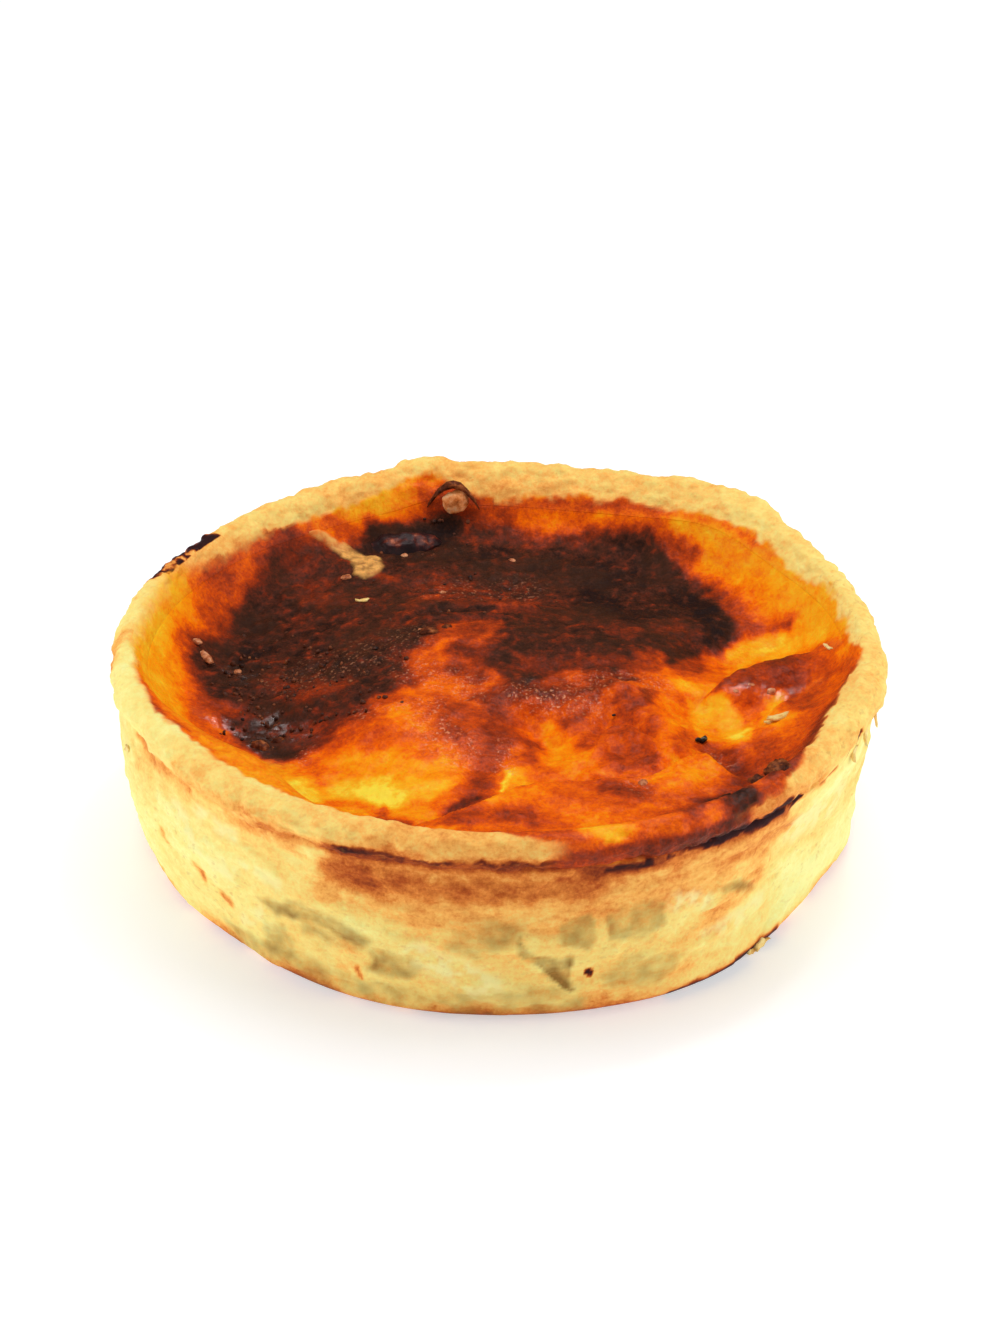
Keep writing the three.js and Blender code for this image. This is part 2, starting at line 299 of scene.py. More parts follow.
def innerRadius(angle):
    return outerRadius(angle) - pastryCase["lipBreadth"] - swelling(angle, pastryCase["broaderLip"])


def meetHeight(angle):
    return crestHeight(angle) - pastryCase["meetDrop"] - swelling(angle, pastryCase["meetLess"])


custard = {
    "gridSteps": 300,
    "level": 23.4,
    "fillet": 5.0,
    "filletRows": [(170, 25, 3.6), (330, 40, 4.5), (40, 25, 3.0), (90, 35, 1.0), (222, 16, -1.5)],
    "floor": 8.0,
    "underLip": 0.05,       # below where the lip's slope ends
    "slopeOut": 0.4,
    "reachUnder": 0.9,      # past the case's inner edge
    "sideShare": 0.93,      # the hidden underside against the top
}

mounds = {
    "middleDome": (-8, 4, 12, 3, 14, 2.5, 1),
    "domeTop": (-5, 9, 0, 9, 6, 0.7, 1),
    "domeFront": (-13, -13, -4, -16, 8, 1.5, 1),
    "domeFrontRight": (2, -7, 12, -8, 5, 1.0, 1.2),
    "darkColumn": (0, -12, -2, -24, 2.5, -0.5, 1),
    "yellowTrough": (4, -13, 8, -20, 2.2, -1.3, 1),
    "rightRidge": (18, -8, 24, -21, 3.8, 2.2, 1.2),
    "ridgeFoot": (13, -22, 20, -26, 4.5, 1.2, 1.5),
    "leftSink": (-36, 14, -32, -8, 11, -2.0, 1),
    "leftFrontSink": (-34, -14, -24, -24, 7, -1.6, 1),
    "leftLump": (-27, -4, -23, -6, 4.5, 1.0, 1.2),
    "backHollow": (4, 28, 26, 25, 9, -1.2, 1),
    "rightValley": (32, 8, 43, 13, 6, -2.6, 1),
    "tornPit": (29, -8, 31, -12, 3.4, -1.8, 1.4),
    "pitGully": (35, -8, 36, -13, 2.2, -1.0, 1.3),
    "rightFold": (29, -21, 36, -31, 2.6, -0.6, 1.2),
    "frontLeftLow": (-20, -30, -12, -34, 6, -1.0, 1),
    "backLeftFold": (-34, 37, -24, 33, 2.6, 0.9, 1.2),
    "archOne": (-10, 15.5, 3, 15.5, 1.3, 0.7, 1),
    "archTwo": (-12, 20, 4, 20.5, 1.6, 0.8, 1),
}

# Raised skins with a crisp edge. The line runs with the raised side on its right,
# and the lift is given at equal steps along it. The step's breadth and how far
# the raised part reaches from the line are in mm.
raisedSkins = {
    "frontLobe": {
        "line": [(-21, -47), (-14.5, -43.3), (-8.4, -41.3), (-3.8, -39.3), (0, -36.8), (2, -34.6),
                 (6, -33.8), (10, -33), (15, -32.4), (20, -32), (23.5, -29.6), (27.2, -26.6),
                 (29.6, -28.6), (32, -31.5), (36, -33.5)],
        "lift": (0.3, 2.2, 3.8, 4.4, 4.6, 4.6, 4.4, 4.3, 4.5, 4.9, 4.3, 3.0), "step": 1.4, "depth": 40,
    },
    "tongue": {
        "line": [(12, -24), (13.3, -20), (14.2, -17), (15.9, -15.3), (18.5, -16), (21, -19.5), (22.5, -25)],
        "lift": (0.2, 0.9, 1.4, 1.4, 0.9, 0.3), "step": 0.8, "depth": 7,
    },
    "rightFlap": {
        "line": [(28, -7), (30.1, -4), (34.2, 0), (38, 2.4), (41.9, 4.2), (46, 5), (50, 5)],
        "lift": (0.3, 1.4, 2.0, 2.4, 2.4, 1.6, 0.6), "step": 1.0, "depth": 8,
    },
    "rightSlope": {
        "line": [(30, -19), (34, -17), (36.5, -13), (39, -9), (42, -6), (46, -4)],
        "lift": (0.3, 1.2, 1.8, 1.8, 1.2, 0.3), "step": 1.6, "depth": 15,
    },
}


# How far the lifts run into each other, in mm at the edge and for each mm inside it,
# and the share of the depth from which the raised part fades
liftBlend = {"edge": 0.3, "inside": 0.35, "fadeFrom": 0.25}


def raisedSkin(x, y, row):
    # the lift of one raised skin at each point
    line = row["line"]
    spans = [math.dist(a, b) for a, b in zip(line, line[1:])]
    stations = np.linspace(0, sum(spans), len(row["lift"]))
    start = 0.0
    aways, sides, lifts = [], [], []
    for (x1, y1), (x2, y2), span in zip(line, line[1:], spans):
        part, away = alongStroke(x, y, x1, y1, x2, y2)
        aways.append(away)
        sides.append(((x - x1) * (y2 - y1) - (y - y1) * (x2 - x1)) / span)
        lifts.append(np.interp(start + part * span, stations, row["lift"]))
        start += span
    aways, sides, lifts = np.array(aways), np.array(sides), np.array(lifts)
    nearest = aways.min(axis=0)
    # of the lines that are as near, the one that the point faces most says which side
    facing = np.where(aways < nearest + 1e-6, np.abs(sides), -1).argmax(axis=0)
    inwards = nearest * np.sign(np.take_along_axis(sides, facing[None], axis=0)[0])
    # where two parts of the edge are about as near, their lifts run into each other
    weight = np.exp(-(aways - nearest) / (liftBlend["edge"] + liftBlend["inside"] * nearest))
    lift = (weight * lifts).sum(axis=0) / weight.sum(axis=0)
    fade = 1 - smooth(row["depth"] * liftBlend["fadeFrom"], row["depth"], inwards)
    return lift * smooth(-row["step"] / 2, row["step"] / 2, inwards) * fade


def custardHeight(x, y):
    angle = np.degrees(np.arctan2(y, x))
    inner = innerRadius(angle)
    fillet = custard["fillet"] + swelling(angle, custard["filletRows"])
    climb = np.clip(1 - np.maximum(inner - np.hypot(x, y), 0) / fillet, 0, 1) ** 2
    height = raised(np.full_like(x, custard["level"]), x, y, mounds)
    for row in raisedSkins.values():
        height = height + raisedSkin(x, y, row)
    # past the case's inner edge it goes on under the lip's slope
    edge = meetHeight(angle) - custard["underLip"]
    return height + (edge - height) * climb + custard["slopeOut"] * np.maximum(np.hypot(x, y) - inner, 0)


# How dark the egg has baked, and in a few rows painted shade: next to the bacon, beside the
# torn streak, on the flap and in the crease under the front lobe. The tone runs from 0, raw yellow, through
# 0.4, orange, and 0.6, red brown, to 1, black. Each area or stroke, in mm, pulls it
# towards its own tone.
browning = {
    "backBand": (0.28, 0.9, 3.0, -4, 48.5, 14, 47.5),
    "backBandDark": (0.60, 0.9, 1.6, -9.5, 46.2, 7, 45.4),
    "backBandLeft": (0.18, 0.9, 3.2, -31, 42.5, -20, 46.5),
    "backBandRight": (0.52, 0.9, 2.2, 5, 45.0, 21, 42.2),
    "backBandRightFar": (0.24, 0.9, 2.2, 28, 40.5, 33, 37),
    "backBandLight": (0.45, 0.8, 0.7, 3, 43.6, 17, 42.0),
    "roundBacon": (0.70, 0.95, 2.2, -10.4, 46.4, -4.0, 45.8),
    "rightBand": (0.30, 0.95, 4.5, 30, 35, 42, 24),
    "rightBandPink": (0.36, 0.8, 1.5, 32, 34, 37, 30),
    "rightBandFar": (0.20, 0.9, 3.8, 43, 24, 47.5, 10),
    "rightBandLow": (0.33, 0.8, 2.2, 49.5, 14, 50, 5),
    "scorchEdgeRight": (0.58, 0.9, 1.8, 33.5, 25, 36, 17),
    "valleyBrown": (0.55, 0.9, 1.1, 37.5, 17.5, 42, 15.2),
    "leftBand": (0.22, 0.95, 4.0, -49.5, 16, -50, -6),
    "leftBandInner": (0.36, 0.8, 1.7, -46.5, 18, -46, 0),
    "leftBandRed": (0.58, 0.95, 2.4, -41, 29, -43, 17),
    "leftBandRedTop": (0.46, 0.9, 2.2, -36, 36.5, -41, 31),
    "leftBandRedFold": (0.70, 0.95, 1.8, -33, 35, -29, 36),
    "streakShade": (0.64, 0.9, 1.3, -26.5, 39.4, -22.5, 39.3),
    "leftBandFar": (0.48, 0.85, 2.0, -43.5, 29, -38.5, 34),
    "leftTrough": (0.46, 0.95, 4.2, -44.5, -12, -35, -29),
    "leftTroughTop": (0.20, 0.9, 2.4, -49, -6, -46.5, -12),
    "leftTroughUpper": (0.50, 0.8, 1.8, -43, -9, -41, -12),
    "leftTroughStreak": (0.55, 0.8, 1.0, -38, -15, -34, -22),
    "leftTroughFoot": (0.28, 0.9, 3.0, -32, -20, -28, -24),
    "leftTroughOuter": (0.52, 0.9, 1.9, -47, -19, -43.5, -25),
    "leftTroughEnd": (0.52, 0.9, 2.0, -26.5, -24.5, -23.5, -23.2),
    "scorch": (0.84, 1.0, 1.8, [
        (34.5, 14.5), (32, 22), (29, 30), (25, 36.5), (18, 40), (5, 42), (1, 44), (-6, 44.5), (-13, 44),
        (-18, 42.5), (-23.5, 37), (-31.5, 35), (-38, 26), (-41, 15), (-45, 9.5), (-45.5, 6), (-41, -7),
        (-33, -15), (-30.5, -18), (-28.5, -17.5), (-22, -12.5), (-13, -4), (-13, 1), (-9, 6), (-8, 8.5),
        (-9, 12), (-6.5, 15), (-3, 15.5), (0, 14), (0, 6.5), (-2, 4), (0.5, -6), (4, -7), (6.5, -3),
        (11, -1.5), (15, -3), (20.5, 3), (23, 5), (25, 3), (30.5, 8.5), (32.5, 12.5)]),
    "scorchRightDeep": (1.0, 0.9, 3.6, 31.2, 17, 28.2, 26),
    "scorchTopDeep": (0.90, 0.9, 1.7, 18, 38.8, 22.5, 38.2),
    "scorchShoulder": (0.66, 0.9, 1.4, 25.5, 37.4, 28.8, 34.0),
    "streakFoot": (0.65, 0.9, 1.5, -18.5, 30, -16.8, 29.0),
    "scorchCoreRight": (1.0, 0.9, 3.6, 15.5, 20, 15.5, 31),
    "scorchBack": (0.92, 0.8, 4.0, 7, 35, 15, 34),
    "scorchBackLeft": (0.94, 0.8, 4.2, -15, 38, -5, 37.5),
    "scorchRight": (0.92, 0.7, 5.0, 22, 30, 24, 19),
    "scorchBackEdge": (0.77, 0.8, 1.2, -8, 41.8, 14, 40.3),
    "scorchLeft": (0.92, 0.9, 3.6, -36, 19, -34.5, 12),
    "scorchLeftLow": (0.92, 0.9, 2.4, -37, 8, -36.5, 2),
    "scorchMiddle": (0.88, 0.8, 2.6, -24, 6.5, -20, -4.5),
    "baconShade": (1.0, 0.95, 1.9, -18, 41.2, -8, 42.8),
    "archesRed": (0.75, 0.95, 5.2, -8, 27, 0, 20.5),
    "archDark": (0.92, 0.9, 0.9, -6, 17.8, -1, 18.4),
    "archUnder": (0.92, 0.8, 1.8, -7, 13.6, 2, 15.6),
    "domeRim": (0.90, 0.8, 1.8, -12.6, 11.5, -11.6, 5.5),
    "leftLobe": (0.75, 0.95, 3.4, -30, 32, -26.5, 25),
    "leftRedSpot": (0.75, 0.9, 2.8, -33, 1, -28, 0.5),
    "leftLump": (0.68, 0.9, 2.4, -27, -3, -23, -2),
    "leftFrontRed": (0.74, 0.8, 3.4, -29, -11, -20, -12),
    "leftFootDark": (0.93, 0.9, 1.8, -34.5, -12.5, -30.5, -16.0),
    "leftLowerRed": (0.62, 0.85, 2.4, -42.5, -5.5, -38, -6),
    "lowerRightRed": (0.77, 0.8, 4.0, 20, 12, 27, 14),
    "glowRight": (0.62, 0.9, 1.8, 21.5, 1.5, 21, 4),
    "glowFarRight": (0.63, 0.9, 2.0, 27, 3, 29, 5),
    "scorchRightLow": (0.74, 0.85, 1.6, 30.5, 7, 29.6, 3.4),
    "domeRed": (0.63, 0.95, 1.4, [
        (-8.4, 11), (-5.5, 14.3), (-2.4, 14), (-0.8, 10.5), (-2, 7), (-5, 6), (-8, 8)]),
    "domeSpot": (0.62, 0.9, 1.3, -9.5, 6.6, -5.2, 8.2),
    "domeLeft": (0.50, 0.95, 2.4, -12, 3.0, -9, -1.5),
    "domeLeftEdge": (0.68, 0.9, 1.5, -15, -1.5, -11.5, -4.2),
    "domeFoot": (0.58, 0.9, 1.4, -16.5, -8.2, -13, -9.0),
    "domeMiddleRed": (0.76, 0.9, 2.4, -5, 3.5, -2, 1),
    "domeMiddle": (0.69, 0.9, 1.9, -6, -0.5, -4, -3.0),
    "domeGlow": (0.42, 0.95, 2.3, -9, -5.5, -7, -8),
    "frontRed": (0.53, 0.9, 3.6, -20, -15, -12, -16),
    "frontOrange": (0.33, 0.95, 3.0, -14, -12.5, -12, -14.5),
    "frontRight": (0.59, 0.9, 3.2, -7, -11, -6, -17),
    "frontLow": (0.26, 0.95, 3.6, -21, -21, -9, -23),
    "frontMiddle": (0.42, 0.8, 1.6, -13.5, -20.2, -9, -20.8),
    "frontYellow": (0.11, 0.9, 3.2, -22, -26.5, -10, -28.8),
    "frontYellowLeft": (0.02, 0.9, 2.4, -28, -26, -25.5, -30),
    "yellowPatch": (0.0, 1.0, 2.0, -19.5, -25.8, -14.8, -30.5),
    "yellowPatchTop": (0.10, 0.9, 1.3, -21, -25, -16, -25.5),
    "frontFoot": (0.26, 0.9, 2.4, -21, -33, -10, -35),
    "frontFootDrip": (0.52, 0.8, 0.9, -15.8, -31.5, -15.4, -36.5),
    "frontFootBrown": (0.62, 0.95, 2.2, -16.6, -36.2, -14.0, -36.8),
    "columnTop": (0.78, 0.95, 2.4, 3, 0.5, 3, -5.5),
    "columnTopRight": (0.74, 0.85, 1.4, 5, -5.6, 7, -6.6),
    "ridgeStart": (0.74, 0.9, 1.8, 14.5, -3.2, 18.5, -3.0),
    "column": (0.68, 0.95, 2.6, -0.5, -8, 0, -18),
    "columnShoulder": (0.70, 0.85, 1.5, -3, -8.2, 5.5, -8.2),
    "columnShoulderRight": (0.62, 0.8, 1.5, 7, -9, 10.5, -11),
    # the column's red brown running down to the front lobe, with painted shade in the crease under the
    # lobe's edge, darkest at its end
    "columnFoot": (0.62, 0.95, 2.2, -1.5, -21, -3.6, -30.5),
    "columnFootCreaseShade": (0.80, 0.9, 1.1, -3.6, -30.5, -6.2, -34.8),
    "columnSide": (0.64, 0.9, 1.5, 4, -17, 4.5, -21.5),
    "rightOfColumn": (0.52, 0.9, 2.0, 4.5, -10, 6, -12.5),
    "ridgeTop": (0.62, 0.9, 2.0, 8.5, -3.5, 12, -8),
    "scorchFringe": (0.73, 0.9, 2.4, 5.5, 0.8, 18, 1.8),
    "fringeBelow": (0.71, 0.85, 1.7, 1, -7.2, 15, -6.4),
    "ridgeTopDark": (0.66, 0.9, 1.2, 8.5, -14.4, 11.5, -12),
    "trough": (0.28, 0.95, 1.5, 6.3, -13.5, 8.8, -20),
    "troughFoot": (0.32, 0.95, 2.6, 9, -22.5, 13, -25),
    "tearGlow": (0.22, 0.95, 1.5, 1.8, -25, 2.4, -29.5),
    "tearLine": (0.06, 1.0, 0.45, 1.5, -24.5, 0.3, -29.5),
    "rightMiddle": (0.57, 0.9, 3.2, 12.5, -17.5, 19, -18),
    "rightMiddleDark": (0.70, 0.9, 1.5, 17.5, -9.2, 18.8, -13),
    "rightMiddleGlow": (0.44, 0.8, 1.2, 14, -11, 19, -13),
    "blister": (0.64, 0.95, 2.6, 16.5, -23.5, 20, -24),
    "ridgeRight": (0.68, 0.95, 1.3, 18.5, -12.3, 22.3, -7),
    "curtain": (0.36, 1.0, 2.2, 24.3, -6, 24, -24),
    "curtainFoot": (0.22, 0.9, 1.5, 25, -21, 25.4, -26),
    "curtainTop": (0.45, 0.9, 2.0, 24, -2, 26, -5),
    "curtainPeak": (0.24, 0.9, 2.0, 26, -2.5, 29.5, -3),
    "pit": (0.19, 1.0, 1.2, [
        (27, -5), (31, -4.5), (33.5, -7.5), (34.5, -12), (33, -17), (30, -18), (27.5, -13)]),
    "pitOchre": (0.32, 0.95, 1.7, 29.5, -12.5, 30.5, -16.5),
    "wedge": (0.10, 0.9, 1.6, 34.4, -12, 33.6, -18),
    "pitRim": (0.52, 0.9, 1.4, 26, -16, 25, -22),
    "pitRimFoot": (0.62, 0.9, 1.5, 29.0, -18.0, 30.4, -21),
    "valley": (0.20, 1.0, 1.3, [
        (33.5, 12), (36, 14.5), (40, 15), (43.5, 13.5), (46.5, 10), (46.5, 7), (43, 9.5), (39, 9), (35.5, 6),
        (33, 2), (31.8, 4)]),
    "valleyBright": (0.08, 0.9, 1.0, 37.5, 11.4, 41, 13.4),
    "valleyLeft": (0.44, 0.95, 1.6, 31.3, 10, 30.8, 1),
    "valleyInner": (0.36, 0.85, 1.2, 33.6, 9.4, 33.8, 5.4),
    "flap": (0.64, 1.0, 0.8, [
        (29.8, -4.2), (33, -0.5), (37, 2.2), (41.9, 4.4), (46, 5.4), (46.5, 0), (45, -3), (42, -3.8),
        (39, -3.5), (35, -4.5)]),
    "flapRight": (0.50, 0.95, 2.4, 46.5, 3, 45.5, -6),
    "flapFar": (0.62, 0.9, 1.6, 50.5, -2, 49.0, -9),
    "flapFoot": (0.50, 0.9, 1.6, 33.5, -6, 39, -6),
    "flapShade": (0.68, 0.95, 1.0, 41.8, -1, 41.8, -9),
    "flapLight": (0.24, 0.95, 1.4, 39.0, -5.5, 37.5, -12),
    "slopeTop": (0.24, 0.9, 2.2, 36, -12.5, 41, -16),
    "pitStrip": (0.0, 1.0, 0.9, 34.4, -11.6, 33.6, -15.2),
    "rightSlope": (0.55, 0.9, 3.0, 44, -8, 43, -17),
    "rightSlopeLow": (0.59, 0.9, 3.4, 36.5, -21, 41, -27),
    "fold": (0.66, 0.95, 2.2, 31, -22, 35, -30.5),
    "foldDeep": (0.72, 0.9, 1.6, 36, -29, 37.5, -33),
    "lobeTop": (0.47, 0.95, 5.0, 4, -39.5, 20, -39.5),
    "lobeLeft": (0.33, 0.9, 2.0, -1, -38.5, 4, -37),
    "lobeBrown": (0.62, 0.95, 2.8, 15, -35.5, 18, -36.5),
    "lobeDarkLeft": (0.60, 0.95, 1.9, -6, -42.5, 3.5, -43.5),
    "lobeFrontLeft": (0.18, 0.9, 2.8, -15.5, -45.5, -8, -48),
    "lobeFrontMiddle": (0.54, 0.9, 2.6, -8, -48.9, 8.0, -50.0),
    "lobeGlow": (0.18, 0.95, 2.0, 10.5, -48.0, 16.0, -50.2),
    "lobeGlowTop": (0.37, 0.9, 2.2, 11, -42, 13.5, -44),
    "lobeRight": (0.72, 0.9, 2.6, 24.5, -43.5, 27.5, -40),
    "triangle": (0.33, 1.0, 1.0, [
        (27.2, -26), (29.6, -28.6), (30.5, -31), (26.5, -34.2), (21.5, -36), (18.5, -32.4), (23.5, -29)]),
    "besideTriangle": (0.65, 0.95, 2.4, 31, -36.5, 33.5, -33),
    "pocket": (0.88, 0.95, 2.4, 29.6, -39.6, 32.2, -41.6),
    "lobeRim": (0.74, 0.95, 1.2, 22, -51.4, 34, -43.8),
    "rightEdge": (0.72, 0.85, 1.3, 50.5, -9, 36, -37),
}

# Where fine blisters stand up, glint through their coat and carry painted highlight dots, and where the egg
# is wet with fat
blistered = {
    "frontGrain": (1.0, 1.0, 3.4, -10, -14.5, -6, -21),
    "frontRightGrain": (1.0, 0.9, 3.2, 4, -8, 12, -9.5),
    "rightGrain": (1.0, 0.8, 3.0, 12, -5, 21, -4),
    "leftGrain": (1.0, 0.8, 1.6, -19, -10.5, -9, -9.5),
    "leftEdgeGrain": (1.0, 0.7, 1.2, -28, -19, -27, -16),
    "domeGrain": (1.0, 0.75, 3.4, -12, -1, -4, -6),
    "pinkStreak": (1.0, 0.9, 1.4, 1, -18, 0.5, -25),
    "lobeGrain": (1.0, 0.5, 1.6, 18, -35, 20, -37),
    "archGrain": (1.0, 0.35, 4.0, -9, 25, 3, 27),
    "leftMiddleGrain": (1.0, 0.35, 5.0, -28, 2, -14, 8),
    "foldGrain": (1.0, 0.6, 1.3, 29, -20, 31, -23),
}
wetFat = {
    "leftEdge": (1.0, 1.0, 1.2, -43, -8, -37, -10.5),
    "leftEdgeFoot": (1.0, 1.0, 1.4, -35.5, -12, -31, -18.5),
    "leftDark": (1.0, 0.8, 2.6, -32, -9, -28, -12),
    "flapEdge": (1.0, 1.0, 1.1, 33, -4.8, 46, -4.2),
    "flapEnd": (1.0, 0.9, 0.8, 46, 4.5, 48, 2.5),
    "domeLeft": (1.0, 0.7, 1.4, -39, 6, -37, 4),
    "fold": (1.0, 0.6, 1.2, 35, -25, 37.5, -29),
}

# The pale streak where the browned skin has torn open
tornSkin = (1.0, 1.0, 0.35, [
    (-29, 37), (-27.5, 37.5), (-20.5, 37.5), (-19, 36), (-18, 32.5), (-19, 30), (-21, 29), (-22.5, 30.5),
    (-22.5, 34.5), (-24.5, 35.5)])

# How far painted edges wander, as (lump size, mm) with a seed for x and one for y
edgeWander = {(6, 1.0): (50, 52), (2.2, 0.6): (51, 53), (1.0, 0.3): (55, 56)}

# How mottled the tone is: (lump size in mm, layers, seed, tone)
toneMottle = {"mottle": (4, 4, 54, 0.05)}

# Where the egg runs out on the pastry. Its rows and angles are in degrees, and the
# rest is in mm.
eggEdge = {
    "thinOver": (-3.0, 1.5),        # past the case's inner edge
    "thinPaler": 0.15,
    "staysBrown": ((127, 156), (264, 352)),
    "brownLine": [(60, 32, 0.22), (322, 12, 0.16), (202, 16, 0.18)],
    "brownLineIn": 0.6,
    "brownLineWidth": 0.8,
}


def flatPoints(x, y):
    return np.stack([x, y, 0 * x], axis=-1)


def warped(x, y):
    # the same points pushed about a little, so that painted edges look grown
    flat = flatPoints(x, y)
    for (size, reach), (seedX, seedY) in edgeWander.items():
        x = x + reach * lumps(flat, size, seedX)
        y = y + reach * lumps(flat, size, seedY)
    return x, y


def eggTone(x, y):
    tone = paint(np.full_like(x, 0.45), *warped(x, y), browning)
    # thin and paler where it runs out on the pastry, except at two browner places
    degrees = np.degrees(np.arctan2(y, x)) % 360
    reach = np.hypot(x, y)
    thin = smooth(*eggEdge["thinOver"], reach - innerRadius(degrees))
    for start, end in eggEdge["staysBrown"]:
        thin = thin * (1 - smooth(start, start + 8, degrees) * (1 - smooth(end - 6, end + 2, degrees)))
    tone = tone - eggEdge["thinPaler"] * thin * smooth(0.1, 0.4, tone)
    tone = tone + uneven(flatPoints(x, y), toneMottle)
    # a browner line near the egg's edge at the back right, the front right and the left
    inwards = outerRadius(degrees) - bareBreadth(degrees) - reach
    line = np.exp(-((inwards - eggEdge["brownLineIn"]) / eggEdge["brownLineWidth"]) ** 2)
    return tone + swelling(degrees, eggEdge["brownLine"]) * line * (tone < 0.6)


# Along the wall, in mm from the front centre to the right, and height in mm. The
# baking runs from 0, pale, through 0.4, tan, to 1, burnt. The rows just under the lip are partly painted
# shade.
wallBaking = {
    "leftPale": (0.04, 0.8, 9, -84, 7, -64, 6),
    "leftUpper": (0.22, 0.8, 6, -84, 19, -64, 19),
    "leftMottled": (0.16, 0.9, 9.0, -55, 14, -44, 11),
    "rightPale": (0.04, 0.9, 6.5, 52, 6, 84, 6),
    "rightMiddle": (0.27, 0.8, 4.5, 52, 16, 84, 16),
    "rightUpper": (0.05, 0.8, 2.6, 53, 22, 68, 21),
    "lowerFront": (0.32, 0.7, 7.0, -28, 8, 28, 8),
    "middleFront": (0.44, 0.8, 3.4, -10, 15.5, 12, 16),
    "upperLeft": (0.28, 0.8, 2.5, -42, 21.0, -27, 20.0),
    "upperLeftFar": (0.32, 0.7, 1.5, -64, 22.0, -50, 22.0),
    "upperFront": (0.46, 0.9, 3.6, -24, 19.4, 40, 18.8),
    # these six rows are browning and also painted shade: darker where the lip's overhang shades its
    # underside and the recessed wall below it
    "upperMiddle": (0.69, 0.9, 2.3, -23, 22.6, 12, 22.3),
    "orangeAndShadeUnderLip": (0.47, 0.9, 1.7, -62, 24.8, -30, 24.8),
    "orangeOnLip": (0.44, 0.8, 2.0, -49, 27.2, -30, 27.6),
    "darkLineAndShadeUnderLip": (0.58, 0.8, 0.6, -66, 25.2, -48, 25.4),
    "underLip": (0.80, 0.98, 1.6, -23, 26.5, 13, 26.2),
    "underLipShadeFade": (0.60, 0.8, 1.3, -33, 26.2, -25, 26.2),
    "smear": (0.76, 0.85, 2.4, -21, 24.0, -18.5, 22.2),
    "underChar": (0.52, 0.9, 2.3, 14, 22.0, 46, 21.2),
    "charBrownLeft": (0.80, 0.95, 1.5, 12, 24.6, 22, 24.8),
    "charBrown": (0.76, 0.95, 2.0, 22, 25.4, 43, 25.0),
    "charBrownEnd": (0.48, 0.9, 2.0, 44.5, 27.0, 51, 26.0),
    "orangeRight": (0.50, 0.9, 2.4, 33, 12.5, 39, 14.5),
    "orangeRightLow": (0.42, 0.7, 2.2, 27, 11, 33, 10),
    "lowerLeft": (0.36, 0.75, 2.2, -44, 2.4, -10, 2.6),
    "lowerRight": (0.80, 0.9, 1.0, 25, 0.9, 47, 1.3),
    "lowerRightGlow": (0.44, 0.7, 2.0, 12, 4.0, 27, 4.6),
    "specksOne": (0.62, 0.8, 1.0, -49, 12.5, -48, 11),
    "specksTwo": (0.62, 0.8, 0.9, -44.0, 9.6, -43.2, 8.7),
    "specksThree": (0.60, 0.7, 0.7, -57, 14.5, -56, 13),
    "lowSpeck": (0.66, 0.9, 0.6, -20, 6.4, -20, 5.4),
    "backLow": (0.34, 0.7, 5.0, 100, 6, 150, 7),
    "backBrown": (0.60, 0.8, 2.0, 112, 26, 140, 26),
    "backLeftBrown": (0.55, 0.8, 1.8, -150, 25.5, -118, 26),
    "backMottle": (0.36, 0.7, 6.0, -150, 12, -120, 16),
    "leftRim": (0.50, 0.8, 1.2, -83, 30.6, -76, 29.6),
    "lobeFoot": (0.66, 0.9, 1.6, 8, 23.4, 13, 22.6),
}
burnt = {
    # painted shade as well as char: the dark line under the lip's overhang at the front
    "underLip": (1.0, 0.50, 0.6, -22, 27.6, 10, 27.2),
    "smearTop": (1.0, 0.5, 1.1, -20.5, 26.6, -18, 26.2),
    "charLeft": (1.0, 0.72, 0.6, 13.0, 24.6, 20, 25.0),
    "charMiddle": (1.0, 0.55, 0.9, 20, 24.9, 29, 25.5),
    "charRight": (1.0, 0.95, 1.5, 29, 25.4, 39, 25.3),
    "charEnd": (1.0, 1.0, 1.6, 38, 25.5, 44, 25.8),
    "charTip": (1.0, 0.7, 0.8, 44, 26.0, 47.0, 25.8),
    "darkDot": (1.0, 1.0, 0.55, 12.3, 7.7, 12.3, 7.5),
    "redDot": (1.0, 0.5, 0.4, 43.0, 16.0, 43.2, 16.0),
    "crackOne": (1.0, 0.5, 0.35, 60.8, 28.6, 58.8, 25.8),
    "crackTwo": (1.0, 0.4, 0.40, 55.4, 25.8, 50.4, 24.4),
    "backChar": (1.0, 0.8, 0.7, 122, 27.0, 133, 26.6),
    "burnStreak": (1.0, 0.90, 1.0, -114, 30.9, -106, 30.8),
    "burnStreakEnd": (1.0, 0.90, 0.9, -106, 30.8, -99.5, 30.6),
}
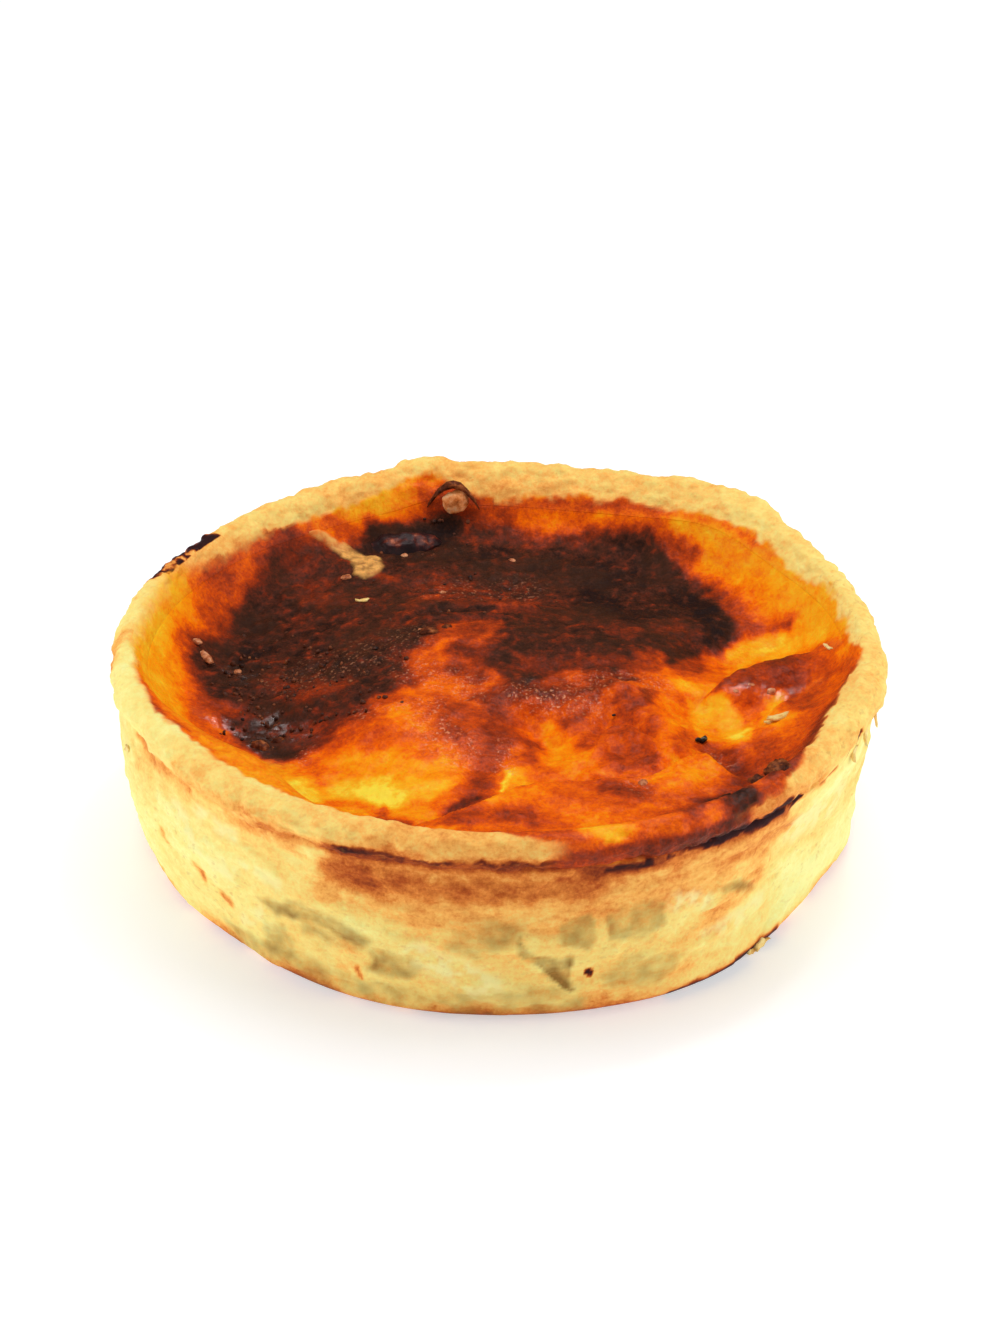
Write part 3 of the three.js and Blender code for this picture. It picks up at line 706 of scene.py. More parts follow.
khakiPatches = {
    "arc": (1.0, 0.9, 0.8, [
        (-36.5, 12.5), (-29, 15), (-22, 14.5), (-18, 12), (-20, 10.5), (-27, 12.5), (-33, 11.5)]),
    "arcFoot": (1.0, 0.6, 1.2, [(-28, 12), (-21, 10), (-24.5, 9.5), (-29, 10)]),
    "underArc": (1.0, 0.7, 0.8, [(-19, 11), (-17, 11), (-11, 9), (-12.5, 6.5), (-18.5, 7)]),
    "middle": (1.0, 0.55, 1.2, [(-7, 16), (-1, 17.5), (3, 17), (2.5, 14), (-3, 11), (-7.5, 12.5)]),
    "leaf": (1.1, 1.0, 0.4, [(2.5, 15), (5, 12), (8, 10.5), (9.5, 11.5), (9.8, 5), (6, 8.5), (2.5, 12)]),
    "cell": (1.0, 0.55, 0.5, [(8, 16.5), (12, 18), (13, 14), (12, 12), (9, 13)]),
    "rectangle": (1.0, 0.6, 0.6, [(15, 17.5), (17, 18.5), (23, 17.5), (23, 14), (20, 12), (15, 13.5)]),
    "lowRight": (1.0, 0.42, 0.8, [(17.5, 9.5), (26, 8), (23, 3.5), (15, 5), (13.5, 7)]),
    "lowMiddle": (1.0, 0.4, 1.4, [(-8, 5.6), (4, 6.2), (10, 5.2), (8, 3.6), (-6, 3.8)]),
    "upperRight": (1.0, 0.6, 0.5, [(31.5, 16.5), (35, 16.5), (40, 12.5), (36, 13.5)]),
    "leftLow": (1.0, 0.5, 0.8, [(-36.5, 9), (-33, 10), (-31, 7.5), (-31.5, 3.5), (-36, 3.5)]),
    "backOne": (1.0, 0.8, 0.7, [(104, 15), (112, 16.5), (118, 14.5), (115, 12), (107, 12.4)]),
    "backTwo": (1.0, 0.7, 0.9, [(131, 10), (138, 12), (142, 9.6), (136, 7)]),
    "backThree": (1.0, 0.8, 0.6, [(-140, 17), (-131, 18.2), (-128, 15.8), (-134, 13.6), (-141, 14.6)]),
    "backFour": (1.0, 0.6, 1.0, [(-112, 9), (-104, 10.5), (-101, 8), (-107, 6)]),
    "footBand": (1.0, 0.55, 1.2, [
        (-46, 4.6), (-30, 5.4), (-14, 4.4), (0, 3.4), (12, 3.0), (12, 0), (-46, 0)]),
}
palePatches = {
    "middle": (1.0, 0.7, 2.4, -11, 10.5, -2, 7.0),
    "right": (1.0, 0.8, 1.7, 25.5, 17.0, 29.0, 15.5),
    "rightLow": (1.0, 0.6, 1.5, 30, 8.5, 42, 9.5),
    "leftOne": (1.0, 0.7, 1.8, -52, 20, -47, 17),
    "leftTwo": (1.0, 0.7, 1.6, -46, 14.5, -41, 15.5),
    "leftThree": (1.0, 0.7, 1.3, -47, 22.5, -40, 21.8),
    "leftFour": (1.0, 0.6, 1.2, -38, 18, -33, 17.2),
    "leftFive": (1.0, 0.6, 1.0, -40, 7, -36, 11.5),
    "farRight": (1.0, 0.8, 3.0, 49, 19, 60, 17),
    "backOne": (1.0, 0.6, 2.6, 118, 19, 130, 17),
    "backTwo": (1.0, 0.6, 3.0, -130, 9, -118, 11),
}
freckled = {
    "wallLeft": (0.6, 1.0, 7.0, -56, 15, -42, 10),
    "wallFront": (1.0, 0.4, 7.0, -20, 12, 30, 12),
    "wallRight": (1.0, 0.5, 7.0, 50, 12, 75, 16),
    "wallBack": (1.0, 0.7, 8.0, 110, 14, 160, 14),
    "wallBackLeft": (1.0, 0.7, 8.0, -160, 14, -100, 14),
    "lipRight": (0.8, 0.9, 3.0, 45, 29, 100, 31),
    "lipFront": (1.0, 0.5, 2.6, -30, 29, 8, 29),
    "lipLeft": (0.5, 0.8, 3.0, -95, 29, -70, 29),
}


def caseSections():
    # radius, height and a region number for each ring of the case, at every angle:
    # 0 under, 1 wall, 2 lip, 3 the lip's inner slope, 4 inside, under the egg
    steps = pastryCase["angularSteps"]
    angle = np.arange(steps) * 360 / steps
    outer = outerRadius(angle)
    inner = innerRadius(angle)
    crest = crestHeight(angle)
    meet = meetHeight(angle)
    foot = pastryCase["baseRadius"] + swelling(angle, pastryCase["footReach"])
    belly = swelling(angle, pastryCase["belly"])
    footRound = pastryCase["footRound"]
    footSteps, wallSteps, lipSteps, slopeSteps = 7, 46, 24, 20
    rings = []
    for share in (0.3, 0.6, 0.8, 0.9):
        rings.append((foot * share, 0 * foot, 0))
    for k in range(footSteps + 1):
        turn = k / footSteps * math.pi / 2
        rings.append((foot - footRound + footRound * math.sin(turn),
                      0 * foot + footRound * (1 - math.cos(turn)), 1))
    wallTop = outer - pastryCase["lipOverhang"] - swelling(angle, pastryCase["overhangMore"])
    wallTopHeight = crest - pastryCase["lipDepth"]
    for k in range(1, wallSteps + 1):
        part = k / wallSteps
        rings.append((foot + (wallTop - foot) * part + belly * math.sin(part * math.pi),
                      footRound + (wallTopHeight - footRound) * part, 1))
    half = pastryCase["lipDepth"] / 2
    lipRound = pastryCase["lipRound"]
    firstTurn, lastTurn = pastryCase["lipTurn"]
    for k in range(lipSteps + 1):
        turn = math.radians(firstTurn + k / lipSteps * (lastTurn - firstTurn))
        rings.append((outer - lipRound + lipRound * math.cos(turn), crest - half + half * math.sin(turn), 2))
    topRadius, topHeight, _ = rings[-1]
    for k in range(1, slopeSteps + 1):
        part = k / slopeSteps
        rings.append((topRadius + (inner - topRadius) * part,
                      topHeight + (meet - topHeight) * part ** pastryCase["slopeCurve"], 3))
    floor = pastryCase["floorThickness"]
    for part in (0.08, 0.3, 0.7, 1.0):
        rings.append((inner - part * pastryCase["wallDraft"], meet + (floor - meet) * part, 4))
    for share in (0.7, 0.35):
        rings.append((inner * share, 0 * inner + floor, 4))
    return angle, rings


# Where the case lies on its bake map: three strips of the outside, and a disc each
# for the underside and for the hidden inside, as (middle, size)
caseMap = {
    "margin": 0.01,
    "stripLength": 0.67,
    "stripPitch": 0.325,
    "stripBreadth": 0.31,
    "under": ((0.84, 0.16), 0.14),
    "inside": ((0.84, 0.42), 0.06),
}


def caseUv(radius, height, region, steps):
    # each corner's place on the bake map
    row, column = gridCorners(len(radius), steps, True)
    third = steps // 3
    strip = column[:, :1] // third
    rises = np.hypot(np.diff(radius.mean(axis=1)), np.diff(height.mean(axis=1)))
    long = np.concatenate([[0], np.cumsum(rises)])
    outside = np.flatnonzero((region >= 1) & (region <= 3))
    share = (long - long[outside[0]]) / (long[outside[-1]] - long[outside[0]])
    uv = np.stack([caseMap["margin"] + caseMap["stripLength"] * (column - strip * third) / third,
                   caseMap["margin"] + caseMap["stripPitch"] * strip + caseMap["stripBreadth"] * share[row]],
                  axis=-1)
    turn = column / steps * 2 * math.pi
    for mask, (middle, size) in ((row.min(axis=1) < outside[0], caseMap["under"]),
                                 (row.max(axis=1) > outside[-1], caseMap["inside"])):
        reach = size * radius[row, column % steps] / radius.max()
        disc = np.stack([middle[0] + reach * np.cos(turn), middle[1] + reach * np.sin(turn)], axis=-1)
        uv[mask] = disc[mask]
    fans = []
    for ring, name in ((0, "under"), (len(radius) - 1, "inside")):
        middle, size = caseMap[name]
        for k in range(steps):
            reach = size * radius[ring, k] / radius.max()
            first, second = [(middle[0] + reach * math.cos(t), middle[1] + reach * math.sin(t))
                             for t in (k / steps * 2 * math.pi, (k + 1) / steps * 2 * math.pi)]
            fans.append([middle, second, first] if name == "under" else [middle, first, second])
    return np.vstack([uv.reshape(-1, 2), np.array(fans).reshape(-1, 2)])


# How uneven the pastry is, as rows of (lump size in mm, layers, seed, height). The
# height is in mm for the wall, the lip and the egg's edge.
pastryRelief = {
    "wall": {"waves": ((9, 9, 6), 1, 1, 0.30), "layering": ((3.5, 3.5, 1.2), 3, 2, 0.15)},
    "lip": {"waves": (8, 1, 4, 0.45), "pinching": (2.6, 3, 5, 0.34)},
    "baking": {"broad": ((8, 8, 5), 3, 30, 0.06), "fine": ((2.2, 2.2, 1.3), 2, 31, 0.05)},
    "eggEdge": {"broad": (5, 3, 38, 0.5), "fine": (1.6, 2, 40, 0.35)},
    "paintAlong": {"wander": (4, 3, 20, 0.8)},
    "paintUp": {"wander": (3, 3, 25, 0.45)},
}
# How the pastry and the egg on it are finished: heights in mm, angles in degrees,
# and the rest as shares of the baking or the tone
pastryFinish = {
    "sheetHeight": 0.22,            # thin torn sheets on the wall
    "sheetPaler": 0.06,
    "lipFlakeHeight": 0.16,
    "lipBaking": 0.24,
    "footRim": 0.52,                # a browned rim round the foot
    "footRimHeight": 2.0,
    "underside": 0.55,
    "burntBrown": 0.9,              # browned all round before it blackens
    "eggSoftness": 0.4,
    "eggSofter": [(170, 18, 1.3)],  # it blends in at the left
    "spillFrom": (275.5, 280.5),    # the egg that ran over the lip at the front right
    "spillTo": (305, 311),
    "spillDepth": (5.6, 4.6),
    "spillTone": 0.62,
    "spillDarker": 0.12,
    "toasted": 1.4,                 # the pastry under the egg's thin edge
}
# Rows are (angle, spread, amount), in degrees: where the lip baked darker
lipBaking = [(90, 55, 0.14), (150, 11, 0.16), (158, 4, 0.16), (180, 4, 0.10), (190, 26, -0.08),
             (264, 22, 0.19), (322, 30, 0.12), (312, 6, 0.20), (223, 9, 0.09)]


def buildCase():
    angle, rings = caseSections()
    steps = len(angle)
    radius = np.array([r for r, _, _ in rings])
    height = np.array([h for _, h, _ in rings])
    ringRegion = np.array([k for _, _, k in rings])
    turn = np.radians(angle)
    grid = np.stack([radius * np.cos(turn), radius * np.sin(turn), height], axis=-1)
    along = np.gradient(grid, axis=0)
    around = np.roll(grid, -1, axis=1) - np.roll(grid, 1, axis=1)
    normal = np.cross(around, along)
    normal /= np.linalg.norm(normal, axis=-1, keepdims=True) + 1e-9
    flat = grid.reshape(-1, 3)
    region = np.repeat(ringRegion, steps)
    degrees = np.tile(angle, len(rings))
    crest = np.tile(crestHeight(angle), len(rings))
    outer = np.tile(outerRadius(angle), len(rings))
    inner = np.tile(innerRadius(angle), len(rings))
    # 0 where the egg meets the lip
    clear = smooth(0.0, 2.5, np.hypot(flat[:, 0], flat[:, 1]) - inner)
    lip = (region >= 2) * (region < 4) * clear
    wall = (region == 1) * smooth(0.0, 2.0, flat[:, 2])
    sheets = smooth(0.02, 0.12, layeredLumps(flat, (11, 11, 4.5), 3, 8))
    offset = wall * uneven(flat, pastryRelief["wall"]) + lip * uneven(flat, pastryRelief["lip"])
    offset += wall * pastryFinish["sheetHeight"] * sheets
    offset += lip * pastryFinish["lipFlakeHeight"] * smooth(0.1, 0.25, lumps(flat, (2.4, 2.4, 1.0), 11))
    flat = flat + normal.reshape(-1, 3) * offset[:, None]
    flat[:, 2] = np.maximum(flat[:, 2], 0)

    x, y, z = flat.T
    r = np.hypot(x, y)
    # mm round the wall from the front
    s = ((degrees - 270 + 540) % 360 - 180) * pastryCase["wallPerDegree"]
    s = s + uneven(flat, pastryRelief["paintAlong"])
    h = z + uneven(flat, pastryRelief["paintUp"]) * (region < 3)
    outside = region <= 2
    under = crest - z
    bake = pastryFinish["lipBaking"] + swelling(degrees, lipBaking) * (region > 1)
    bake = np.where(outside, paint(bake, s, h, wallBaking), bake)
    bake += uneven(flat, pastryRelief["baking"]) - pastryFinish["sheetPaler"] * wall * sheets
    rim = pastryFinish["footRim"] * np.exp(-(z / pastryFinish["footRimHeight"]) ** 2)
    bake += rim * (region >= 1) * smooth(-0.6, 0.4, lumps(flat, 9, 33) + 0.3)
    bake = np.where(region == 0, pastryFinish["underside"] + 0.12 * layeredLumps(flat, 9, 4, 34), bake)
    crumbly = smooth(-0.9, 0.0, layeredLumps(flat, 2.5, 3, 36))
    char = paint(np.zeros_like(z), s, h, burnt) * outside * crumbly
    bake = np.maximum(bake, pastryFinish["burntBrown"] * smooth(0.02, 0.6, char))
    char = smooth(0.3, 0.9, char)
    khaki = paint(np.zeros_like(z), s, h, khakiPatches) * (region == 1)
    khaki *= 0.75 + 0.5 * layeredLumps(flat, 3.0, 3, 37)
    pale = paint(np.zeros_like(z), s, h, palePatches) * (region == 1)
    pale *= smooth(-0.5, 0.2, layeredLumps(flat, 2.4, 3, 35))
    freckle = 0.5 * paint(np.full_like(z, 0.15), s, h, freckled) * (region >= 1)
    egg = outer - bareBreadth(degrees) - r + uneven(flat, pastryRelief["eggEdge"])
    soft = pastryFinish["eggSoftness"] + swelling(degrees, pastryFinish["eggSofter"])
    egg = smooth(-soft, soft, egg) * (region >= 2)
    egg = np.where(region == 2, egg * (under < 1.5), egg)
    overflow = smooth(*pastryFinish["spillFrom"], degrees) * (1 - smooth(*pastryFinish["spillTo"], degrees))
    ranDown = smooth(*pastryFinish["spillDepth"], under + 0.6 * lumps(flat, 3, 39))
    spill = overflow * (region == 2) * ranDown
    egg = np.maximum(egg, spill)
    tone = eggTone(x, y)
    edgeTone = pastryFinish["spillTone"] + pastryFinish["spillDarker"] * smooth(284, 296, degrees)
    tone = np.where(region == 2, tone + (edgeTone - tone) * spill * smooth(0.9, 2.2, under), tone)
    # where the egg thins out it is never black, and the pastry under it is toasted
    tone = np.where(region >= 2, np.minimum(tone, 0.35 + 0.57 * egg), tone)
    bake += pastryFinish["toasted"] * egg * (1 - egg) * smooth(0.45, 0.75, tone)

    quads = gridFaces(len(rings), steps, True)
    floorTop = [0, 0, pastryCase["floorThickness"]]
    points = np.vstack([flat, [[0, 0, 0], floorTop]])
    count = len(flat)
    last = (len(rings) - 1) * steps
    faces = quads + [[count, (k + 1) % steps, k] for k in range(steps)]
    faces += [[count + 1, last + k, last + (k + 1) % steps] for k in range(steps)]
    fields = {"bake": bake, "char": char, "khaki": khaki, "pale": pale, "freckle": freckle, "egg": egg,
              "tone": tone}
    fields = {name: np.append(values, [0.5, 0.5]) for name, values in fields.items()}
    piece = makePiece("shortcrust_case", points, faces, fields, caseUv(radius, height, ringRegion, steps))
    # a sharp inner edge, so that the slope's shading runs on into the egg
    edges = np.array([edge.vertices[:] for edge in piece.data.edges])
    meeting = np.flatnonzero(ringRegion == 3)[-1]
    sharp = piece.data.attributes.new("sharp_edge", "BOOLEAN", "EDGE")
    sharp.data.foreach_set("value", (edges // steps == meeting).all(axis=1))
    return piece


# How uneven the skin is, as rows of (lump size in mm, layers, seed, height in mm)
skinRelief = {
    "skin": {"broad": (6, 1, 40, 0.26), "fine": (2.4, 3, 41, 0.20)},
    "blisters": {"blisters": (1.2, 2, 44, 0.18)},
    "ruffles": {"ruffles": (4.2, 3, 47, 0.55)},
    "wet": {"beads": (1.7, 1, 46, 0.20)},
}
# How high the crust, its folds and the torn streak stand, in mm, and how far they
# shift the tone
skinFinish = {
    "crustHeight": 0.14,
    "crustDarker": 0.13,
    "crustPaler": 0.07,
    "foldHeight": 0.22,
    "foldDarker": 0.10,
    "tornHeight": 0.35,
}
# Where the skin is ruffled and where it lies in folds: half a width and a line, in mm
ruffledLine = (10, (9, -9, 25, -27))
foldedLine = (8, (-10, 19, 4, 20))
# Where the filling lies on its bake map, as (middle, half size): the top, and the
# hidden side and floor small in a corner
custardMap = {"top": (0.5, 0.47), "rim": (0.07, 0.05), "foot": (0.07, 0.03)}


def buildCustard():
    steps = custard["gridSteps"]
    line = np.linspace(-1, 1, steps)
    u, v = (g.ravel() for g in np.meshgrid(line, line))
    dx = u * np.sqrt(1 - v * v / 2)
    dy = v * np.sqrt(1 - u * u / 2)
    share = np.minimum(np.hypot(dx, dy), 1)
    angle = np.degrees(np.arctan2(dy, dx))
    inner = innerRadius(angle)
    radius = share * (inner + custard["reachUnder"])
    x = radius * np.cos(np.radians(angle))
    y = radius * np.sin(np.radians(angle))
    z = custardHeight(x, y)
    flat = flatPoints(x, y)
    free = smooth(0.0, 2.5, inner - radius)
    blister = paint(np.zeros_like(x), x, y, blistered)
    wet = paint(np.zeros_like(x), *warped(x, y), wetFat)
    tone = eggTone(x, y)
    crust = smooth(0.68, 0.84, tone)
    torn = paint(np.zeros_like(x), *warped(x, y), {"streak": tornSkin})

    # the skin's own unevenness, its blisters, and the scorched crust with the folds
    # that lie round the dome
    grain = layeredLumps(flat, 1.5, 2, 60)
    aroundDome = np.stack([np.hypot(x + 2, y - 5), 5 * np.arctan2(x + 2, y - 5), 0 * x], axis=-1)
    folds = 1 - 2.2 * np.abs(lumps(aroundDome, (3.0, 6.0, 1.0), 61))
    folded, ruffled = (np.exp(-(nearStroke(x, y, *line) / width) ** 4)
                       for width, line in (foldedLine, ruffledLine))
    for mask, name in ((1, "skin"), (blister, "blisters"), (ruffled, "ruffles"), (wet, "wet")):
        z = z + free * mask * uneven(flat, skinRelief[name])
    z = z + free * crust * skinFinish["crustHeight"] * grain
    z = z + free * folded * skinFinish["foldHeight"] * folds + skinFinish["tornHeight"] * torn
    tone = tone - skinFinish["crustDarker"] * crust * smooth(0.15, 0.8, grain)
    tone = tone - skinFinish["foldDarker"] * folded * smooth(0.3, 1.0, folds)
    tone = tone + skinFinish["crustPaler"] * crust * smooth(0.2, 0.8, -grain)

    top = np.stack([x, y, z], axis=-1)
    faces = gridFaces(steps, steps, False)
    grid = np.arange(steps * steps).reshape(steps, steps)
    border = np.concatenate([grid[0, :-1], grid[:-1, -1], grid[-1, :0:-1], grid[:0:-1, 0]])
    floor = top[border].copy()
    floor[:, :2] *= custard["sideShare"]
    floor[:, 2] = custard["floor"]
    start = len(top)
    points = np.vstack([top, floor, [[0, 0, custard["floor"]]]])
    plan, rim, foot = (middle + size * top[:, :2] / radius.max() for middle, size in custardMap.values())
    rim, foot = rim[border], foot[border]
    hub = (custardMap["foot"][0],) * 2
    uv = [plan[np.array(faces)].reshape(-1, 2)]
    for k in range(len(border)):
        after = (k + 1) % len(border)
        faces.append([border[k], start + k, start + after, border[after]])
        faces.append([start + k, start + len(border), start + after])
        uv.append([rim[k], foot[k], foot[after], rim[after], foot[k], hub, foot[after]])
    fields = {"tone": tone, "crust": crust, "blister": blister, "wet": wet, "torn": torn}
    fields = {name: np.append(values, [0.4 if name == "tone" else 0.0] * (len(points) - start))
              for name, values in fields.items()}
    return makePiece("egg_custard_filling", points, faces, fields, np.vstack(uv))


def roundLump(size, seed, rough=0.14, rings=12, sectors=18, bend=0.0, grain=2.0):
    # one closed uneven lump round the origin: its length, breadth and height in mm
    polar = np.linspace(0, math.pi, rings + 1)[1:-1, None]
    turn = np.arange(sectors) * 2 * math.pi / sectors
    ball = np.stack(np.broadcast_arrays(np.sin(polar) * np.cos(turn), np.sin(polar) * np.sin(turn),
                                        np.cos(polar)), axis=-1)
    points = np.vstack([ball.reshape(-1, 3), [[0, 0, 1], [0, 0, -1]]]) * np.array(size) / 2
    points = points * (1 + rough * layeredLumps(points, grain, 3, seed))[:, None]
    points[:, 1] += bend * (points[:, 0] / size[0]) ** 2
    faces = gridFaces(rings - 1, sectors, True)
    top, bottom = len(points) - 2, len(points) - 1
    last = (rings - 2) * sectors
    faces = [face[::-1] for face in faces]
    faces += [[top, k, (k + 1) % sectors] for k in range(sectors)]
    faces += [[bottom, last + (k + 1) % sectors, last + k] for k in range(sectors)]
    return points, faces


def flake(size, seed, curl=0.5):
    # one thin torn flake round the origin: its length, breadth and thickness in mm
    source = np.random.default_rng(seed)
    sides = 14
    turn = np.arange(sides) * 2 * math.pi / sides
    reach = 1 + 0.28 * source.normal(size=sides).clip(-1.2, 1.2)
    edge = np.stack([np.cos(turn) * reach * size[0] / 2, np.sin(turn) * reach * size[1] / 2, 0 * turn],
                    axis=-1)
    below = [0, 0, -1]
    layers = [np.zeros((1, 3)), edge * 0.55, edge, edge + below, edge * 0.55 + below, [below]]
    points = np.vstack(layers) * [1, 1, size[2]]
    points[:, 2] += curl * (points[:, 0] / size[0]) ** 2 + 0.12 * lumps(points, 1.0, seed)
    faces = []
    for k in range(sides):
        after = (k + 1) % sides
        ring = [1 + sides * layer for layer in range(4)]
        faces.append([0, ring[0] + k, ring[0] + after])
        for upper, lower in zip(ring, ring[1:]):
            faces.append([upper + k, lower + k, lower + after, upper + after])
        faces.append([1 + 4 * sides, ring[3] + after, ring[3] + k])
    return points, faces


def turned(points, turn=0.0, tilt=0.0):
    # tilt about the length, then turn about up, in degrees
    c, s = math.cos(math.radians(tilt)), math.sin(math.radians(tilt))
    points = points @ np.array([[1, 0, 0], [0, c, s], [0, -s, c]])
    c, s = math.cos(math.radians(turn)), math.sin(math.radians(turn))
    return points @ np.array([[c, s, 0], [-s, c, 0], [0, 0, 1]])


def onSkin(x, y, sink=0.0):
    # a point on the custard's skin, or a little under it
    return np.array([x, y, custardHeight(np.array([float(x)]), np.array([float(y)]))[0] - sink])


def joined(name, parts):
    # one piece made of several closed parts
    points = np.vstack([p for p, _ in parts])
    faces = []
    start = 0
    for p, f in parts:
        faces += [[start + k for k in face] for face in f]
        start += len(p)
    return makePiece(name, points, faces)


# Fried bacon that stands out of the skin; sizes are length, breadth and height in
# mm, and sink is how far the middle lies under the skin
baconPieces = {
    "bacon_back_left": {"at": (-15, 39.8), "sink": 0.9, "size": (12.4, 5.4, 4.6), "bend": 1.5, "turn": 6,
                        "seed": 3, "rough": 0.13},
    "bacon_back": {"at": (-6.8, 45.4), "sink": -1.7, "size": (4.6, 3.0, 3.8), "bend": 1.0, "turn": 20,
                   "seed": 8, "rough": 0.24},
}


def buildBacon(name):
    row = baconPieces[name]
    points, faces = roundLump(row["size"], row["seed"], row["rough"], rings=44, sectors=64,
                              bend=row["bend"], grain=3.2)
    # a rasher's folds run along it
    points[:, 2] += 0.16 * np.sin(points[:, 1] * 2.2 + 0.3 * points[:, 0]) * np.cos(points[:, 0] * 0.5)
    points = turned(points, row["turn"]) + onSkin(*row["at"], row["sink"])
    return makePiece("fried_" + name, points, faces)


# Dark puffed bits of skin and the arch of skin over the bacon at the back, and pale toasted
# bits, some of fat and some that stand where the skin glints: painted highlights. Rows are
# (x, y, how far the middle lies under the skin, size, turn), and for the arch its tilt and bend, in mm and
# degrees
brownedBits = {
    "oval": (37.5, -34.2, -1.5, (4.2, 3.4, 2.6), 35),
    "pocket": (30.2, -39.9, -0.2, (3.4, 2.6, 2.2), 20),
    "bridge": (-10.3, 9.5, 0.1, (2.8, 2.0, 1.5), 10),
    "bridgeRight": (-7.8, 10.6, 0.2, (1.8, 1.6, 1.3), 60),
    "leftFoot": (-33.8, -13.2, 0.3, (3.6, 2.4, 2.0), -30),
    "leftFootUp": (-31.2, -11.8, 0.4, (2.6, 2.0, 1.6), 20),
    "ovalSmall": (34.9, -33.0, -0.3, (3.0, 2.6, 2.2), 10),
    "archOverBack": (-7.2, 45.7, -4.2, (8.2, 1.2, 1.4), -4, -90, 17),
}
toastedAndGlintBits = {
    "ovalEnd": (34.0, -32.2, 0.1, (1.9, 1.5, 1.3), 20),
    # the next three are pale bits that stand where the skin glints: painted highlights
    "pocketGlintBit": (28.4, -40.8, 0.1, (1.8, 1.5, 1.3), 0),
    "lobe": (19.3, -34.4, 0.1, (1.3, 1.3, 1.1), 10),
    "lobeRimGlintBit": (25.2, -44.4, 0.2, (1.2, 1.0, 0.9), 0),
    "streakEnd": (-23.2, 29.8, 0.2, (1.7, 1.5, 1.0), 0),
    "archLeft": (-8.6, 25.2, 0.2, (1.5, 1.0, 0.8), 20),
    "backOne": (-14.5, 37.0, 0.3, (1.2, 1.0, 0.9), 0),
    "backTwo": (1.8, 36.2, 0.3, (1.5, 1.1, 0.8), 0),
    "bridge": (-11.6, 10.6, 0.1, (0.9, 0.8, 0.7), 0),
    "splinter": (-42.9, 7.4, -0.1, (4.6, 1.3, 1.0), -58),
    "splinterTop": (-44.2, 9.6, -0.1, (1.8, 1.1, 0.8), -20),
    "leftSpeck": (-38.0, 5.2, 0.1, (1.3, 1.0, 0.8), 40),
    # the three on the flap are pale bits that stand for its glints: painted highlights
    "flapGlintOne": (35.6, -3.9, 0.2, (1.4, 0.9, 0.8), 10),
    "flapGlintTwo": (38.6, -4.2, 0.1, (1.6, 1.1, 0.9), 30),
    "flapGlintThree": (33.4, -5.2, 0.2, (1.1, 0.8, 0.7), -20),
}


# Specks of cracked pepper at the right, which lie on the skin
pepper = {
    "speck": (28.4, -16.9, -0.25, (1.3, 0.9, 0.8), 50),
    "speckSide": (27.6, -17.3, -0.25, (0.8, 0.6, 0.6), 10),
    "small": (16.0, -12.8, -0.25, (0.5, 0.35, 0.35), 0),
}
# How each sort of bit is made: its unevenness, the size of its lumps in mm, its
# first seed, and the rings and sectors of its mesh
bitShapes = {
    "browned_bits": (0.22, 0.8, 70, 14, 20),
    "toasted_and_glint_bits": (0.25, 0.8, 70, 14, 20),
    "cracked_pepper": (0.35, 0.7, 90, 12, 16),
}


def bitsPiece(name, rows):
    rough, grain, firstSeed, rings, sectors = bitShapes[name]
    parts = []
    for seed, (x, y, sink, size, turn, *more) in enumerate(rows.values(), firstSeed):
        tilt, bend = more or (0, 0.0)
        points, faces = roundLump(size, seed, rough, rings, sectors, bend, grain)
        parts.append((turned(points, turn, tilt) + onSkin(x, y, sink), faces))
    return joined(name, parts)


# Loose crumbs of scorched skin, most of them on the crust left of the middle, as
# (x, y, spread, how many, smallest, largest) in mm
crumbs = {
    "leftMiddle": (-25, 3, 8, 110, 0.35, 0.9),
    "left": (-35, 5, 4, 50, 0.35, 0.9),
    "leftEdge": (-33, -8, 4, 45, 0.35, 0.9),
    "back": (-6, 30, 9, 50, 0.3, 0.7),
}


def buildCrumbs():
    source = np.random.default_rng(7)
    parts = []
    for x, y, spread, count, small, large in crumbs.values():
        for _ in range(count):
            px, py = np.array([x, y]) + spread * source.normal(size=2).clip(-1.6, 1.6)
            size = source.uniform(small, large) * source.uniform(0.6, 1.3, size=3)
            points, faces = roundLump(size, int(source.integers(200)), rough=0.3, rings=5, sectors=7,
                                      grain=0.4)
            parts.append((turned(points, source.uniform(0, 360)) + onSkin(px, py, 0.05), faces))
    return joined("scorched_crumbs", parts)


# Flakes of the pastry: on the skin as (x, y, size, turn, tilt), and on the outside
# of the case as (angle, height, size, slant). Sizes are length, breadth and
# thickness in mm.
skinFlakes = {
    "slope": (38.9, -13.6, (2.8, 1.6, 0.3), 30, -12),
    "slopeTip": (37.6, -14.3, (1.2, 0.7, 0.25), 10, -8),
    "grey": (-20.5, 22.4, (1.7, 0.9, 0.2), 10, -10),
    "valley": (47.2, 2.8, (1.6, 0.6, 0.3), -50, 0),
}
wallFlakes = {
    "rightTop": (343.5, 27.5, (3.6, 1.4, 0.3), 70),
    "rightMiddle": (340.5, 25.8, (3.0, 1.2, 0.3), 60),
    "rightLow": (336.5, 24.4, (2.6, 1.0, 0.3), 75),
    "rightEdge": (352.0, 27.0, (1.4, 0.9, 0.25), 20),
    "left": (196.0, 21.0, (2.4, 1.0, 0.3), 20),
    "foot": (316.5, 1.4, (2.6, 1.2, 0.5), 10),
    "footTip": (314.5, 0.7, (1.6, 0.9, 0.4), -20),
    "back": (74.0, 20.0, (3.0, 1.2, 0.3), 35),
    "backLeft": (128.0, 16.0, (2.4, 1.1, 0.3), -25),
}


flakeLift = {"skin": 0.35, "wall": 0.3}     # mm out from the face under the flake


